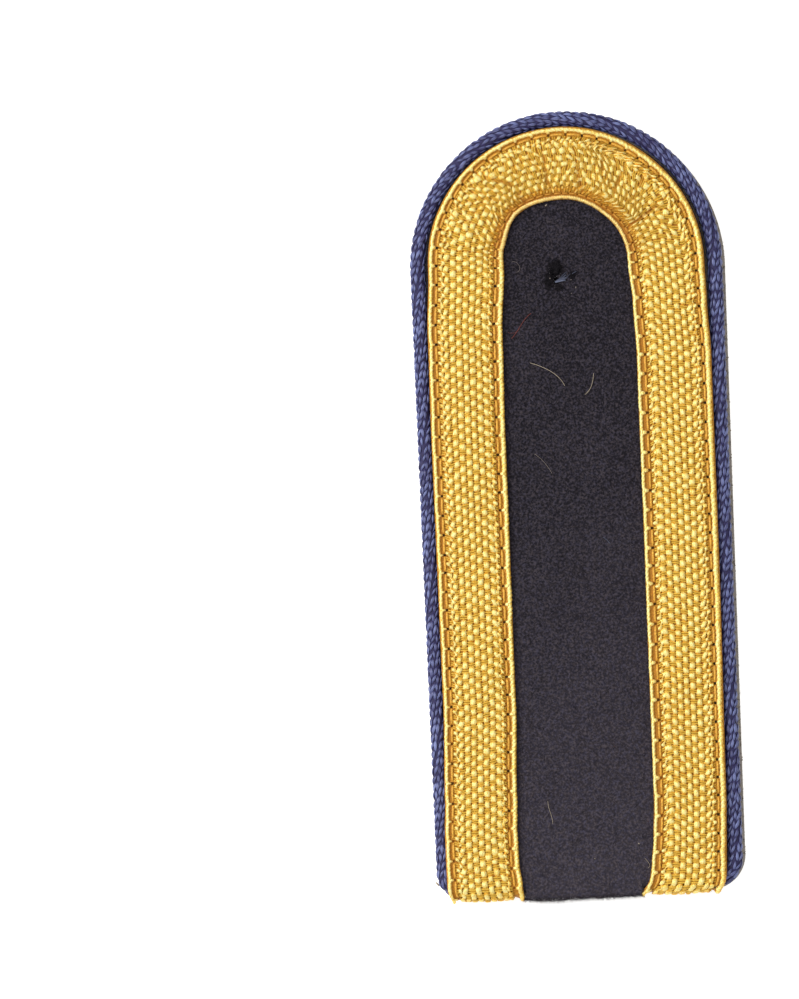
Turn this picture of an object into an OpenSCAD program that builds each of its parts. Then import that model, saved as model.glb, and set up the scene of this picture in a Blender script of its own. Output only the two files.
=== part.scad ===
// A shoulder board, lying flat with its face up. A slab of navy wool cloth is closed underneath
// by grey felt and edged with a blue cord, and a gold lace is laid on it as a U.
// +Y points to the rounded button end, +X to the wearer's right as seen from above, +Z is up.
// The origin is the middle of the bottom of everything.

/* [Board] */
// Length over the lace's turned ends and the cord at the rounded end
board_l = 118.3; // [100:0.1:140]
// Width over the cord at the rounded end
board_w = 47; // [42:0.1:56]
// How far each side leans in on its way to the straight end
side_lean = 0.45; // [0:0.05:1]
// Outer radius of the cord's left lower corner
left_corner_r = 3.8; // [3.4:0.1:5.5]
// Outer radius of the cord's right lower corner
right_corner_r = 4.7; // [3.4:0.1:5.5]
// How far the cord's lower corners stay behind the straight end
corner_back = 0.45; // [0.2:0.05:1]

/* [Felt backing] */
// Thickness of the felt
backing_t = 1.2; // [0.8:0.05:3]
// How far the felt shows past the cord along the right side
felt_show = 0.5; // [0:0.05:1]
// How far the felt stays behind the outline at the two ends
felt_back = 0.4; // [0.2:0.05:1]

/* [Wool cloth] */
// Thickness of the padded cloth
cloth_t = 2; // [1.4:0.05:3]

/* [Edge cord] */
// Width of the cord as it lies, seen from above
cord_w = 2.45; // [2:0.05:2.9]

/* [Lace] */
// Width of the lace over its two edge cords
lace_w = 10.95; // [9:0.05:13]
// Thickness of the lace at the crown of its woven band
lace_t = 1.05; // [0.8:0.05:1.4]
// Width of the blue cord that is left showing outside the lace
cord_show = 2.48; // [2.2:0.02:3]
// Width of the lace's outer edge cord
outer_cord_w = 0.62; // [0.4:0.02:0.9]
// Width of the lace's inner edge cord
inner_cord_w = 0.85; // [0.4:0.02:1.1]
// Width of each channel that the lace is sewn down in
channel_w = 1.02; // [0.6:0.02:1.4]
// Depth of the deepest gather at the inner curve, as a share of the lace's thickness
gather_depth = 0.36; // [0:0.02:0.5]

/* [Button hole] */
// Width of the button hole
hole_d = 3; // [2:0.1:5]
// Distance of the button hole from the rounded end
hole_from_end = 24.8; // [22:0.1:40]
// How far the button hole lies to the right of the middle
hole_side = -1.2; // [-3:0.1:3]

/* [Fits] */
// Gap between one layer and the next
lay_gap = 0.05; // [0.02:0.01:0.2]
// Gap between the cloth and the cord and lace beside it
side_gap = 0.1; // [0.05:0.01:0.3]

/* [Hidden] */
$fn = 96;

half_w = board_w / 2;
end_y = -board_l / 2;
round_y = board_l / 2 - half_w;
arm_l = round_y - end_y;
lean_a = atan(side_lean / arm_l);
lean_out = [cos(lean_a), -sin(lean_a)];
left_out = [-cos(lean_a), -sin(lean_a)];

cloth_z = backing_t + lay_gap;
lace_z = cloth_z + cloth_t + lay_gap;
cloth_hw = half_w - cord_w - side_gap;
nose_r = cloth_t / 2;
nose_z = cloth_z + nose_r;
bend_y = end_y + lace_t + lay_gap + nose_r;
cord_r = min(cord_w, cloth_t) / 2;
hole_y = board_l / 2 - hole_from_end;
// How far a straight stretch of an outline is tucked inside the round stretch it meets
tuck = 0.02;

// Where the lace's two edges run. station: 0 where the left arm turns down over the straight end,
// 1 and 2 where the rounded end starts and stops, 3 where the right arm turns down; the turns
// themselves run on to -0.02 and 3.02. outer, inner: how far that edge lies outside its even
// place, as a share of the lace's width.
TURN_STATIONS = 0.02;
EDGE_RUN = [
    // station, outer, inner
    [-0.02, 0.000, 0.020],
    [0.00, 0.070, 0.045],
    [0.04, 0.074, 0.079],
    [0.09, 0.072, 0.086],
    [0.14, 0.052, 0.070],
    [0.30, 0.017, 0.028],
    [0.73, 0.018, 0.011],
    [0.90, 0.005, -0.011],
    [1.00, -0.038, -0.070],
    [1.12, -0.018, -0.034],
    [1.27, -0.009, 0.050],
    [1.50, -0.009, 0.000],
    [1.75, -0.059, -0.046],
    [2.00, -0.057, -0.070],
    [2.06, -0.018, -0.025],
    [2.15, 0.014, 0.006],
    [2.50, 0.009, 0.020],
    [2.87, 0.025, 0.024],
    [2.96, 0.003, -0.040],
    [3.00, -0.050, -0.125],
    [3.02, -0.090, -0.160],
];

// The gathers where the lace is drawn in round the inner curve. station as above; depth as a
// share of the deepest; reach as a share of the lace's width, from the inner edge.
GATHERS = [
    // station, depth, reach
    [1.18, 0.45, 0.50],
    [1.32, 0.60, 0.65],
    [1.45, 0.80, 0.80],
    [1.58, 0.50, 0.45],
    [1.70, 0.70, 0.60],
    [1.83, 1.00, 0.70],
    [1.93, 0.45, 0.50],
];
gather_half = 0.024;

// Smooth value of a column of a table at a station
function eased(t) = t * t * (3 - 2 * t);
function row_at(table, s, i = 0) = (i >= len(table) - 2 || s < table[i + 1][0]) ? i : row_at(table, s, i + 1);
function share_in(table, s, i) = min(1, max(0, (s - table[i][0]) / (table[i + 1][0] - table[i][0])));
function blend_row(table, s, c, i) =
    table[i][c] + (table[i + 1][c] - table[i][c]) * eased(share_in(table, s, i));
function column_at(table, s, c) = blend_row(table, s, c, row_at(table, s));

// The lace's edges, as distances from the board's middle line
outer_even = half_w - cord_show;
inner_even = outer_even - lace_w;
function leaned(s) = side_lean * (s < 1 ? 1 - s : s > 2 ? s - 2 : 0);
function outer_edge(s) = outer_even - leaned(s) + lace_w * column_at(EDGE_RUN, s, 1);
function inner_edge(s) = inner_even - leaned(s) + lace_w * column_at(EDGE_RUN, s, 2);

// Centre of a rounded lower corner that lies behind the straight end by back; side is 1 on the
// right and -1 on the left
function corner_x(r, y) = (half_w - r + (y - round_y) * sin(lean_a)) / cos(lean_a);
function corner_at(r, back, side) =
    let (y = end_y + back + r)
    [side * corner_x(r, y), y];
left_corner = corner_at(left_corner_r, corner_back, -1);
right_corner = corner_at(right_corner_r, corner_back, 1);
// Angle below the cross line at which the cord's middle line meets the lace's turned end
function corner_stop(x, r, edge) = acos(min(0.9, max(0, (edge + side_gap - x) / (r - cord_w / 2))));
left_stop = corner_stop(-left_corner[0], left_corner_r, outer_edge(0));
right_stop = corner_stop(right_corner[0], right_corner_r, outer_edge(3));
left_end = -TURN_STATIONS;
right_end = 3 + TURN_STATIONS;

// A slab with a round end, leaning sides and two rounded lower corners
module board_slab(t, hw, left_r, left_at, right_r, right_at) {
    translate([0, round_y, 0])
        cylinder(r = hw, h = t);
    translate([right_at[0], right_at[1], 0])
        cylinder(r = right_r, h = t);
    translate([left_at[0], left_at[1], 0])
        cylinder(r = left_r, h = t);
    linear_extrude(t)
        polygon([
            [0, round_y] + (hw - tuck) * lean_out,
            right_at + (right_r - tuck) * lean_out,
            right_at - [0, right_r - tuck],
            left_at - [0, left_r - tuck],
            left_at + (left_r - tuck) * left_out,
            [0, round_y] + (hw - tuck) * left_out,
        ]);
}

module button_bore(z, h) {
    translate([hole_side, hole_y, z - 1])
        cylinder(d = hole_d, h = h + 2);
}

// Everything is drawn about the board's middle line and then centred with the felt
module centred() {
    translate([-felt_show / 2, 0, 0])
        children();
}

// The felt has the cord's outline, moved over so that it shows along the right side
module backing() {
    left_r = left_corner_r;
    right_r = right_corner_r + felt_show;
    color("#7f7a73")
        centred()
            difference() {
                translate([felt_show, -felt_back, 0])
                    board_slab(backing_t, half_w, left_r, corner_at(left_r, 2 * felt_back, -1),
                               right_r, corner_at(right_r, 2 * felt_back, 1));
                button_bore(0, backing_t);
            }
}

module base_cloth() {
    left_r = left_corner_r - cord_w - side_gap;
    right_r = right_corner_r - cord_w - side_gap;
    tail_left = left_r * cos(left_stop) - left_corner[0] - side_gap;
    tail_right = right_r * cos(right_stop) + right_corner[0] - side_gap;
    tail_l = corner_back + max(left_corner_r, right_corner_r);
    tongue_left = min(inner_edge(0), inner_edge(left_end)) - side_gap;
    tongue_right = min(inner_edge(3), inner_edge(right_end)) - side_gap;
    color("#2a2734")
        centred()
            difference() {
                union() {
                    translate([0, 0, cloth_z])
                        board_slab(cloth_t, cloth_hw, left_r, left_corner, right_r, right_corner);
                    translate([-tail_left, bend_y, cloth_z])
                        cube([tail_left + tail_right, tail_l, cloth_t]);
                    cloth_nose(tail_left, tail_right, bend_y);
                    translate([-tongue_left, end_y + nose_r, cloth_z])
                        cube([tongue_left + tongue_right, tail_l, cloth_t]);
                    cloth_nose(tongue_left, tongue_right, end_y + nose_r);
                }
                button_bore(cloth_z, cloth_t);
            }
}

// The rounded fold of the cloth along the straight end
module cloth_nose(left, right, y) {
    translate([-left, y, nose_z])
        rotate([0, 90, 0])
            cylinder(r = nose_r - tuck, h = left + right);
}

// The cord is pressed as thick as the cloth beside it, with round sides. A point of its section
// is a place across, outward from the cord's middle line, and a height.
cord_sides = 16;
function cord_section(turn) =
    [sign(cos(turn)) * (cord_w / 2 - cord_r) + cord_r * cos(turn),
     sign(sin(turn)) * (cloth_t / 2 - cord_r) + cord_r * sin(turn)];
CORD_SECTION = [for (i = [0 : cord_sides - 1]) cord_section(360 * i / cord_sides)];

// A ring of the cord round a centre at an angle, its middle line r away
function cord_ring(at, r, angle) = [
    for (p = CORD_SECTION)
        [at[0] + (r + p[0]) * cos(angle), at[1] + (r + p[0]) * sin(angle), nose_z + p[1]]
];
function cord_arc(at, r, from, to, steps) =
    [for (i = [0 : steps]) cord_ring(at, r - cord_w / 2, from + (to - from) * i / steps)];

// The arcs meet each other along the sides' straight lines, from the right corner to the left
cord_rings = concat(
    cord_arc(right_corner, right_corner_r, -right_stop, -lean_a, 8),
    cord_arc([0, round_y], half_w, -lean_a, 180 + lean_a, 48),
    cord_arc(left_corner, left_corner_r, 180 + lean_a, 180 + left_stop, 8)
);

module piping() {
    color("#4c5596")
        centred()
            ring_skin(cord_rings);
}

// Section of the lace from its inner to its outer edge, each point a place across in mm and a
// height as a share of the lace's thickness: cord, channel, crowned band, channel, cord
band_from = inner_cord_w + channel_w;
band_to = lace_w - outer_cord_w - channel_w;
function on_band(share) = band_from + (band_to - band_from) * share;
LACE_SECTION = [
    [0.1 * inner_cord_w, 0],
    [0, 0.34],
    [0.16 * inner_cord_w, 0.66],
    [0.5 * inner_cord_w, 0.8],
    [0.84 * inner_cord_w, 0.66],
    [inner_cord_w, 0.45],
    [inner_cord_w + 0.9 * channel_w, 0.45],
    [band_from, 0.74],
    [on_band(0.12), 0.88],
    [on_band(0.3), 0.97],
    [on_band(0.5), 1],
    [on_band(0.7), 0.97],
    [on_band(0.88), 0.88],
    [band_to, 0.74],
    [band_to + 0.1 * channel_w, 0.45],
    [lace_w - outer_cord_w, 0.45],
    [lace_w - 0.84 * outer_cord_w, 0.62],
    [lace_w - 0.5 * outer_cord_w, 0.72],
    [lace_w - 0.16 * outer_cord_w, 0.62],
    [lace_w, 0.34],
    [lace_w - 0.1 * outer_cord_w, 0],
];

// How much of the lace's height the gathers take away at a station and a share of its width
function gather_pull(g, s, across) =
    g[1] * exp(-pow((s - g[0]) / gather_half, 2)) * max(0, 1 - across / g[2]);
function sum_of(list, i = 0) = i >= len(list) ? 0 : list[i] + sum_of(list, i + 1);
function gathered(s, across) = gather_depth * sum_of([for (g = GATHERS) gather_pull(g, s, across)]);

// A point of the lace on the board: how far out from the middle line or the round centre, how
// high above the cloth, at a station, with the turn at the straight end in degrees
turn_r = nose_r + lay_gap;
drop_to = cloth_z;
function side_of(s) = s < 1.5 ? -1 : 1;
function round_point(s, out, h) =
    [out * cos(180 * (2 - s)), round_y + out * sin(180 * (2 - s)), lace_z + h];
function arm_y(s) = bend_y + (round_y - bend_y) * (s < 1 ? s : 3 - s);
function arm_point(s, out, h) = [side_of(s) * out, arm_y(s), lace_z + h];
function turn_point(s, out, h, turn) =
    [side_of(s) * out, bend_y - (turn_r + h) * sin(turn), nose_z + (turn_r + h) * cos(turn)];
function drop_point(s, out, h) = [side_of(s) * out, bend_y - turn_r - h, drop_to];
function lace_point(s, out, h, turn) =
    turn > 90 ? drop_point(s, out, h) :
    turn > 0 ? turn_point(s, out, h, turn) :
    s < 1 || s > 2 ? arm_point(s, out, h) : round_point(s, out, h);

function lace_ring(s, turn) = [
    for (p = LACE_SECTION)
        let (across = p[0] / lace_w)
        let (out = inner_edge(s) + (outer_edge(s) - inner_edge(s)) * across)
        lace_point(s, out, lace_t * p[1] * (1 - gathered(s, across)), turn)
];

arm_steps = 30;
round_steps = 72;
turn_steps = 5;
past_turn = 91;
turns = [for (i = [1 : turn_steps]) 90 * i / turn_steps];
function turned_ring(from, to, i) = lace_ring(from + (to - from) * (i + 1) / turn_steps, turns[i]);
lace_rings = concat(
    [lace_ring(left_end, past_turn)],
    [for (i = [turn_steps - 1 : -1 : 0]) turned_ring(0, left_end, i)],
    [for (i = [0 : arm_steps - 1]) lace_ring(i / arm_steps, 0)],
    [for (i = [0 : round_steps]) lace_ring(1 + i / round_steps, 0)],
    [for (i = [1 : arm_steps]) lace_ring(2 + i / arm_steps, 0)],
    [for (i = [0 : turn_steps - 1]) turned_ring(3, right_end, i)],
    [lace_ring(right_end, past_turn)]
);

// A closed skin over a list of rings that all have the same number of points
module ring_skin(rings) {
    n = len(rings[0]);
    last = (len(rings) - 1) * n;
    walls = [
        for (r = [0 : len(rings) - 2])
            for (i = [0 : n - 1])
                [r * n + i, r * n + (i + 1) % n, (r + 1) * n + (i + 1) % n, (r + 1) * n + i]
    ];
    polyhedron(
        points = [for (ring = rings) for (p = ring) p],
        faces = concat([[for (i = [n - 1 : -1 : 0]) i]], walls, [[for (i = [0 : n - 1]) last + i]])
    );
}

module tress() {
    color("#d9a533")
        centred()
            ring_skin(lace_rings);
}

backing();
base_cloth();
piping();
tress();
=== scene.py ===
"""Dresses a packed shoulder board: gold lace with its single yarns, knitted edge cord, napped wool
cloth and felt. Sizes are in metres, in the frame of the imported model."""

import math
from contextlib import contextmanager

import bpy
import numpy as np
from bpy.props import FloatProperty, FloatVectorProperty, IntProperty, PointerProperty
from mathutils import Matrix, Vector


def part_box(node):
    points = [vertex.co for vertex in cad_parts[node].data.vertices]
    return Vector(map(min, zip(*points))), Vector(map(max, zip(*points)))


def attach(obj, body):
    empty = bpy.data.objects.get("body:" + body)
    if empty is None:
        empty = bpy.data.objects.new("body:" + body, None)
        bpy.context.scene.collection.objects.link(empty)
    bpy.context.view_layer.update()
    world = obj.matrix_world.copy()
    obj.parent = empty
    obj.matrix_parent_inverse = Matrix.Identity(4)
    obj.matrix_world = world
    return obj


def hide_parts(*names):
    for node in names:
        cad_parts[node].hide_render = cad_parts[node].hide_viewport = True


bl_info = {
    "name": "Shoulder board",
    "version": (1, 0, 0),
    "blender": (4, 5, 0),
    "location": "View3D > Sidebar > Shoulder board",
    "description": "Dresses a shoulder board in lace, edge cord, wool and felt",
    "category": "Object",
}

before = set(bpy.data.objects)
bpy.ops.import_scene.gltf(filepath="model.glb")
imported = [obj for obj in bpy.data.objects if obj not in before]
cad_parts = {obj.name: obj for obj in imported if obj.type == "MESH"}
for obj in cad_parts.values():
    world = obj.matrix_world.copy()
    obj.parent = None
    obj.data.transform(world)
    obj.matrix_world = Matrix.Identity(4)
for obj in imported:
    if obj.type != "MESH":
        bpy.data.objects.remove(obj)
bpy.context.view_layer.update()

MM = 0.001
FELT_LOW, FELT_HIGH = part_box("backing")
CLOTH_LOW, CLOTH_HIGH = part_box("base_cloth")
PIPING_LOW, PIPING_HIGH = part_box("piping")
LACE_LOW, LACE_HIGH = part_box("tress")

# The board's outline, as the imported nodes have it
MIDDLE_X = (PIPING_LOW.x + PIPING_HIGH.x) / 2
HALF_W = (PIPING_HIGH.x - PIPING_LOW.x) / 2
ROUND_Y = PIPING_HIGH.y - HALF_W
END_Y = LACE_LOW.y
CLOTH_T = CLOTH_HIGH.z - CLOTH_LOW.z
LAY_GAP = 0.05 * MM
SIDE_LEAN = 0.45 * MM
CORD_W = 2.45 * MM
CORNER_BACK = 0.45 * MM
LEFT_CORNER_R = 3.8 * MM
RIGHT_CORNER_R = 4.7 * MM

# The lace, in its own frame: along it, across it from its inner edge, and up from the cloth
SEAT_Z = CLOTH_HIGH.z + LAY_GAP
LACE_T = LACE_HIGH.z - SEAT_Z
LACE_W = 10.95 * MM
CORD_SHOW = 2.48 * MM
BAND_FROM = 1.65 * MM
BAND_TO = LACE_W - 1.5 * MM
BORDER_W = 0.55 * MM
CHANNEL_H = 0.44 * LACE_T
THREAD_OFF = 0.38 * MM
OUTER_EVEN = HALF_W - CORD_SHOW
INNER_EVEN = OUTER_EVEN - LACE_W
NOSE_R = CLOTH_T / 2
NOSE_Z = CLOTH_LOW.z + NOSE_R
BEND_Y = END_Y + LACE_T + LAY_GAP + NOSE_R
TURN_R = NOSE_R + LAY_GAP
ARM_L = ROUND_Y - BEND_Y
ROUND_MIDDLE = math.pi * (OUTER_EVEN + INNER_EVEN) / 2
TURN_L = (TURN_R + LACE_T / 2) * math.pi / 2
DROP_L = NOSE_Z - CLOTH_LOW.z

# How much lace is eased into the rounded end: share of the turn, lace up to there as a share of
# the turn's middle line
EASE = np.array([
    [0, 0], [0.167, 0.186], [0.333, 0.389], [0.5, 0.601], [0.667, 0.824], [0.833, 1.047], [1, 1.24],
])
ROUND_L = EASE[-1, 1] * ROUND_MIDDLE
ROUND_STOP = ARM_L + ROUND_L
FLAT_L = 2 * ARM_L + ROUND_L
LACE_START = -TURN_L - DROP_L
LACE_END = FLAT_L - LACE_START
LACE_L = LACE_END - LACE_START

# How far the band's inner border shifts inwards on the rounded end, how far the turned-down ends
# stand out past their fold, and how much further their edge cords do
BORDER_SHIFT = 0.42 * MM
END_OUT = 0.22 * MM
END_CORD_OUT = 0.3 * MM

# A crease this deep gets the full painted shade of a fold. The inner edge of the rounded end lies in its
# own painted shade as far across as SHADED_W; that shade and the cloudy patches of painted shade on it add
# to the folds' shade.
FOLD_DEPTH = 0.42 * MM
SHADED_W = 2.9 * MM
EDGE_SHADE = 0.68
CLOUD_SHADE = 0.22

# How far the piping stands out on its right side, and how far, in radians, each of its ends runs
# on under the lace
PIPING_OUT = 0.12 * MM
RIGHT_TUCK = 0.3
LEFT_TUCK = 0.6

# Where the lace's two edges run. station: 0 at the left arm's turn, 1 and 2 at the start and stop
# of the rounded end, 3 at the right arm's turn; outer, inner: how far that edge lies outside its
# even place, as a share of the lace's width. Each end's turn takes up TURN_STATIONS more.
TURN_STATIONS = 0.02
EDGE_RUN = np.array([
    # station, outer, inner
    [-0.02, 0.020, 0.020],
    [0.00, 0.070, 0.045],
    [0.04, 0.074, 0.079],
    [0.09, 0.072, 0.086],
    [0.14, 0.052, 0.070],
    [0.30, 0.017, 0.028],
    [0.73, 0.018, 0.011],
    [0.90, 0.005, -0.011],
    [1.00, -0.038, -0.070],
    [1.12, -0.018, -0.034],
    [1.27, -0.009, 0.050],
    [1.50, -0.009, 0.000],
    [1.75, -0.037, -0.046],
    [2.00, -0.034, -0.070],
    [2.06, -0.018, -0.025],
    [2.15, 0.018, 0.006],
    [2.50, 0.030, 0.020],
    [2.87, 0.016, 0.030],
    [2.93, 0.002, 0.008],
    [2.97, -0.008, -0.026],
    [2.99, -0.013, -0.047],
    [3.00, -0.020, -0.064],
    [3.006, -0.040, -0.107],
    [3.014, -0.075, -0.175],
    [3.02, -0.090, -0.185],
])

# The gathers where the lace is drawn in round the inner curve: station, depth as a share of the
# lace's thickness, and reach as a share of its width from the inner edge. Each is sunk over
# GATHER_HALF to either side, and draws the weave in from DRAWN_HALF.
GATHERS = [
    # station, depth, reach
    [1.18, 0.16, 0.50],
    [1.32, 0.22, 0.65],
    [1.45, 0.29, 0.80],
    [1.58, 0.18, 0.45],
    [1.70, 0.25, 0.60],
    [1.83, 0.36, 0.70],
    [1.93, 0.16, 0.50],
]
GATHER_HALF = 0.024
DRAWN_HALF = 2.6 * GATHER_HALF

# The sharp creases there: the two ends of each (x, y), its depth and its half width, in millimetres
CREASES = [
    [(9.55, 41.27), (13.67, 44.08), 0.46, 0.20],
    [(7.6, 46.6), (8.8, 49.2), 0.30, 0.22],
    [(5.94, 51.6), (6.1, 49.2), 0.30, 0.22],
    [(-10.75, 49.3), (-7.5, 48.2), 0.28, 0.26],
    [(-2.85, 53.0), (-2.25, 48.0), 0.24, 0.26],
    [(2.1, 50.2), (2.9, 46.9), 0.26, 0.3],
    [(-6.9, 46.9), (-5.2, 44.9), 0.3, 0.3],
    [(11.2, 47.2), (12.6, 49.0), 0.2, 0.26],
]

# How far the rows of the weave lean along the lace for each step across it, by station
LEAN = np.array([
    [0.0, -0.14], [0.95, -0.16], [1.15, -0.05], [1.3, 0.15], [1.42, -0.1], [1.55, -0.35], [1.66, -0.95],
    [1.75, -0.6], [1.84, 0.1], [1.95, 0.2], [2.1, 0.15], [3.0, 0.14],
])

# Height of the lace's woven band across it: share of the band's width, share of the thickness
BAND_CROWN = np.array([
    [0, 0.74], [0.12, 0.88], [0.3, 0.97], [0.5, 1], [0.7, 0.97], [0.88, 0.88], [1, 0.74],
])

# Waves in the lay of the lace. size: in stations for the first table, in millimetres for the next
# two, as a share of full shade for the last; along, across: radians over the whole rounded end and
# the lace's whole width for the first table, for each millimetre in the others; start: radians.
EASE_WAVES = [
    # size, along, across, start
    [0.004, 31, 5.1, 0],
    [0.0028, 57, -7.3, 1],
]
BOW_WAVES = [
    [0.22, 0.23, 0.6, 0],
    [0.13, -0.11, 1.1, 2],
]
FINE_BOW_WAVES = [
    [0.05, 0.9, 1.7, 0],
]
# Patches of painted shade on the inner side of the rounded end
SHADE_CLOUD_WAVES = [
    [1, 0.62, 0.9, 0],
    [1, 0.41, -1.2, 1],
    [0.4, 1.7, 0.5, 0],
]


def length(name, description, millimetres):
    """A length property whose default is given in millimetres."""
    return FloatProperty(name=name, description=description, default=millimetres * MM, min=0,
                         precision=5, subtype="DISTANCE", unit="LENGTH")


def colour(name, description, value):
    """A linear colour property."""
    return FloatVectorProperty(name=name, description=description, default=value, size=3, min=0,
                               max=1, subtype="COLOR")


class LaceSizes(bpy.types.PropertyGroup):
    weave_pitch: length("Weave pitch", "Length of one over and under of a warp yarn", 1.585)
    warps: IntProperty(name="Warp yarns", description="Warp yarns side by side", default=7, min=3)
    warp_w: length("Warp width", "Width of a warp yarn at its crown", 0.80)
    warp_t: length("Warp thickness", "Thickness of a warp yarn", 0.36)
    warp_wave: length("Warp wave", "How far a warp yarn dips under a weft", 0.31)
    weft_w: length("Weft thickness", "Thickness of one of the weft's two yarns", 0.265)
    stitch: length("Stitch", "Distance from one stitch hole to the next", 2.85)
    hole_w: length("Stitch hole", "Width of a stitch hole", 0.42)
    thread_w: length("Thread", "Width of the sewing thread", 0.34)
    gold: colour("Gold", "Metallised yarn where it stands proud", (0.98, 0.70, 0.155))
    pale: colour("Pale gold", "Metallised yarn where it catches the light", (1.0, 0.88, 0.37))
    # amber: the metallised yarn's colour where its tone runs low, mostly painted shade in its hollows and
    # on its flanks
    amber: colour("Amber", "Metallised yarn in its hollows", (0.79, 0.39, 0.026))
    silk: colour("Silk", "Amber silk of the weft", (0.87, 0.525, 0.062))
    ground: colour("Ground", "Amber silk of the ground", (0.62, 0.265, 0.022))
    thread: colour("Sewing thread", "Thread that sews the lace down", (0.95, 0.50, 0.07))
    # tan: the edge cords' colour in the painted shade of folds on the inner curve
    tan: colour("Tan", "Edge cord where it is worn on the inner curve", (0.80, 0.50, 0.20))
    # fold: painted shade deep in a fold, on the silk and on the metallised yarns
    fold: colour("Fold", "Amber silk deep in a fold", (0.40, 0.135, 0.015))
    shade: colour("Shade", "Depth of the stitch holes", (0.085, 0.045, 0.009))


class PipingSizes(bpy.types.PropertyGroup):
    wales: IntProperty(name="Wales", description="Columns of stitches round the cord", default=10, min=6)
    stitch: length("Stitch", "Length of one stitch of a column", 1.27)
    stitch_w: length("Stitch width", "Width of one stitch", 0.38)
    stitch_h: length("Stitch height", "How far a stitch stands off the core", 0.23)
    light: colour("Light", "Rayon where it catches the light", (0.17, 0.20, 0.42))
    # deep: the rayon's colour in painted shade, in its hollows and at the stitches' ends
    deep: colour("Deep", "Rayon in its hollows", (0.023, 0.018, 0.095))


class ClothSizes(bpy.types.PropertyGroup):
    nap: IntProperty(name="Nap", description="Loose fibres on the wool", default=11000, min=0)
    nap_l: length("Nap length", "Length of a loose fibre", 0.95)
    nap_w: length("Nap width", "Width of a loose fibre", 0.055)
    wool: colour("Wool", "Navy wool", (0.010, 0.0088, 0.0122))
    fibre: colour("Fibre", "Lighter fibres of the wool", (0.108, 0.092, 0.110))


class FeltSizes(bpy.types.PropertyGroup):
    knob: length("Knob", "Size of a knob of felt at its cut edge", 0.3)
    felt: colour("Felt", "Grey felt", (0.46, 0.41, 0.35))
    fleck: colour("Fleck", "Darker flecks in the felt", (0.16, 0.135, 0.095))


class StageSizes(bpy.types.PropertyGroup):
    height: length("Camera height", "Height of the camera over the board", 900)
    view_l: length("View", "Length of the board's plane that the frame takes in", 149.85)
    floor: length("Floor", "Width of the floor", 4000)
    paper: colour("Paper", "Pale floor", (0.93, 0.93, 0.925))


class BoardSettings(bpy.types.PropertyGroup):
    lace: PointerProperty(type=LaceSizes)
    piping: PointerProperty(type=PipingSizes)
    cloth: PointerProperty(type=ClothSizes)
    felt: PointerProperty(type=FeltSizes)
    stage: PointerProperty(type=StageSizes)


# Modelling

def only(obj):
    """Makes obj the one selected and active object."""
    bpy.ops.object.select_all(action="DESELECT")
    obj.select_set(True)
    bpy.context.view_layer.objects.active = obj


@contextmanager
def editing(obj):
    """Edit mode on obj, with everything selected."""
    only(obj)
    bpy.ops.object.mode_set(mode="EDIT")
    bpy.ops.mesh.select_all(action="SELECT")
    yield
    bpy.ops.object.mode_set(mode="OBJECT")


def points_of(obj):
    """The vertices of obj as rows of x, y and z."""
    flat = np.empty(len(obj.data.vertices) * 3, np.float32)
    obj.data.vertices.foreach_get("co", flat)
    return flat.reshape(-1, 3).astype(float)


def place_points(obj, points):
    """Moves the vertices of obj to these points."""
    obj.data.vertices.foreach_set("co", np.ascontiguousarray(points, np.float32).ravel())
    obj.data.update()


def mark(obj, name, values):
    """Gives each vertex a value that the materials read."""
    kept = obj.data.attributes.get(name) or obj.data.attributes.new(name, "FLOAT", "POINT")
    kept.data.foreach_set("value", np.asarray(values, np.float32))


def mark_tone(obj, tone):
    """Marks how light each vertex is, from 0 to 1: painted light and shade on the lace and the piping, the
    pieces' own tone elsewhere.
    """
    mark(obj, "tone", np.clip(tone, 0, 1))


def ring_tube(name, sides, rings, closed=False):
    """A tube drawn out ring by ring along +X. Each ring is (along, across, height, half width,
    half height)."""
    bpy.ops.object.select_all(action="DESELECT")
    bpy.ops.mesh.primitive_circle_add(vertices=sides, radius=1, rotation=(0, math.pi / 2, 0))
    tube = bpy.context.object
    tube.name = name
    bpy.ops.object.transform_apply(location=True, rotation=True, scale=True)
    with editing(tube):
        bpy.ops.transform.resize(value=(1, rings[0][3], rings[0][4]), center_override=(0, 0, 0))
        bpy.ops.transform.translate(value=rings[0][:3])
        for before, after in zip(rings, rings[1:]):
            step = [b - a for a, b in zip(before[:3], after[:3])]
            bpy.ops.mesh.extrude_region_move(TRANSFORM_OT_translate={"value": step})
            grown = (1, after[3] / before[3], after[4] / before[4])
            bpy.ops.transform.resize(value=grown, center_override=after[:3])
    if closed:
        close_ends(tube)
    return tube


def face_outwards(obj):
    """Turns the faces of obj outwards."""
    with editing(obj):
        bpy.ops.mesh.normals_make_consistent(inside=False)


def close_ends(obj):
    """Closes the open ends of obj and turns its faces outwards."""
    with editing(obj):
        bpy.ops.mesh.fill_holes(sides=0)
    face_outwards(obj)


def repeat(obj, count, step, weld=False):
    """Copies obj count times in a row, each copy a step on from the last."""
    only(obj)
    bpy.ops.object.modifier_add(type="ARRAY")
    row = obj.modifiers[-1]
    row.count = count
    row.use_relative_offset = False
    row.use_constant_offset = True
    row.constant_offset_displace = step
    row.use_merge_vertices = weld
    row.merge_threshold = 0.01 * MM
    bpy.ops.object.modifier_apply(modifier=row.name)
    return obj


def twin(obj, step):
    """A second one of obj with its own mesh, moved by step."""
    only(obj)
    bpy.ops.object.duplicate_move(TRANSFORM_OT_translate={"value": step})
    other = bpy.context.object
    bpy.ops.object.transform_apply(location=True, rotation=True, scale=True)
    return other


def joined(name, pieces):
    """Joins pieces into one mesh."""
    bpy.ops.object.select_all(action="DESELECT")
    for piece in pieces:
        piece.select_set(True)
    bpy.context.view_layer.objects.active = pieces[0]
    bpy.ops.object.join()
    pieces[0].name = name
    return pieces[0]


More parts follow.
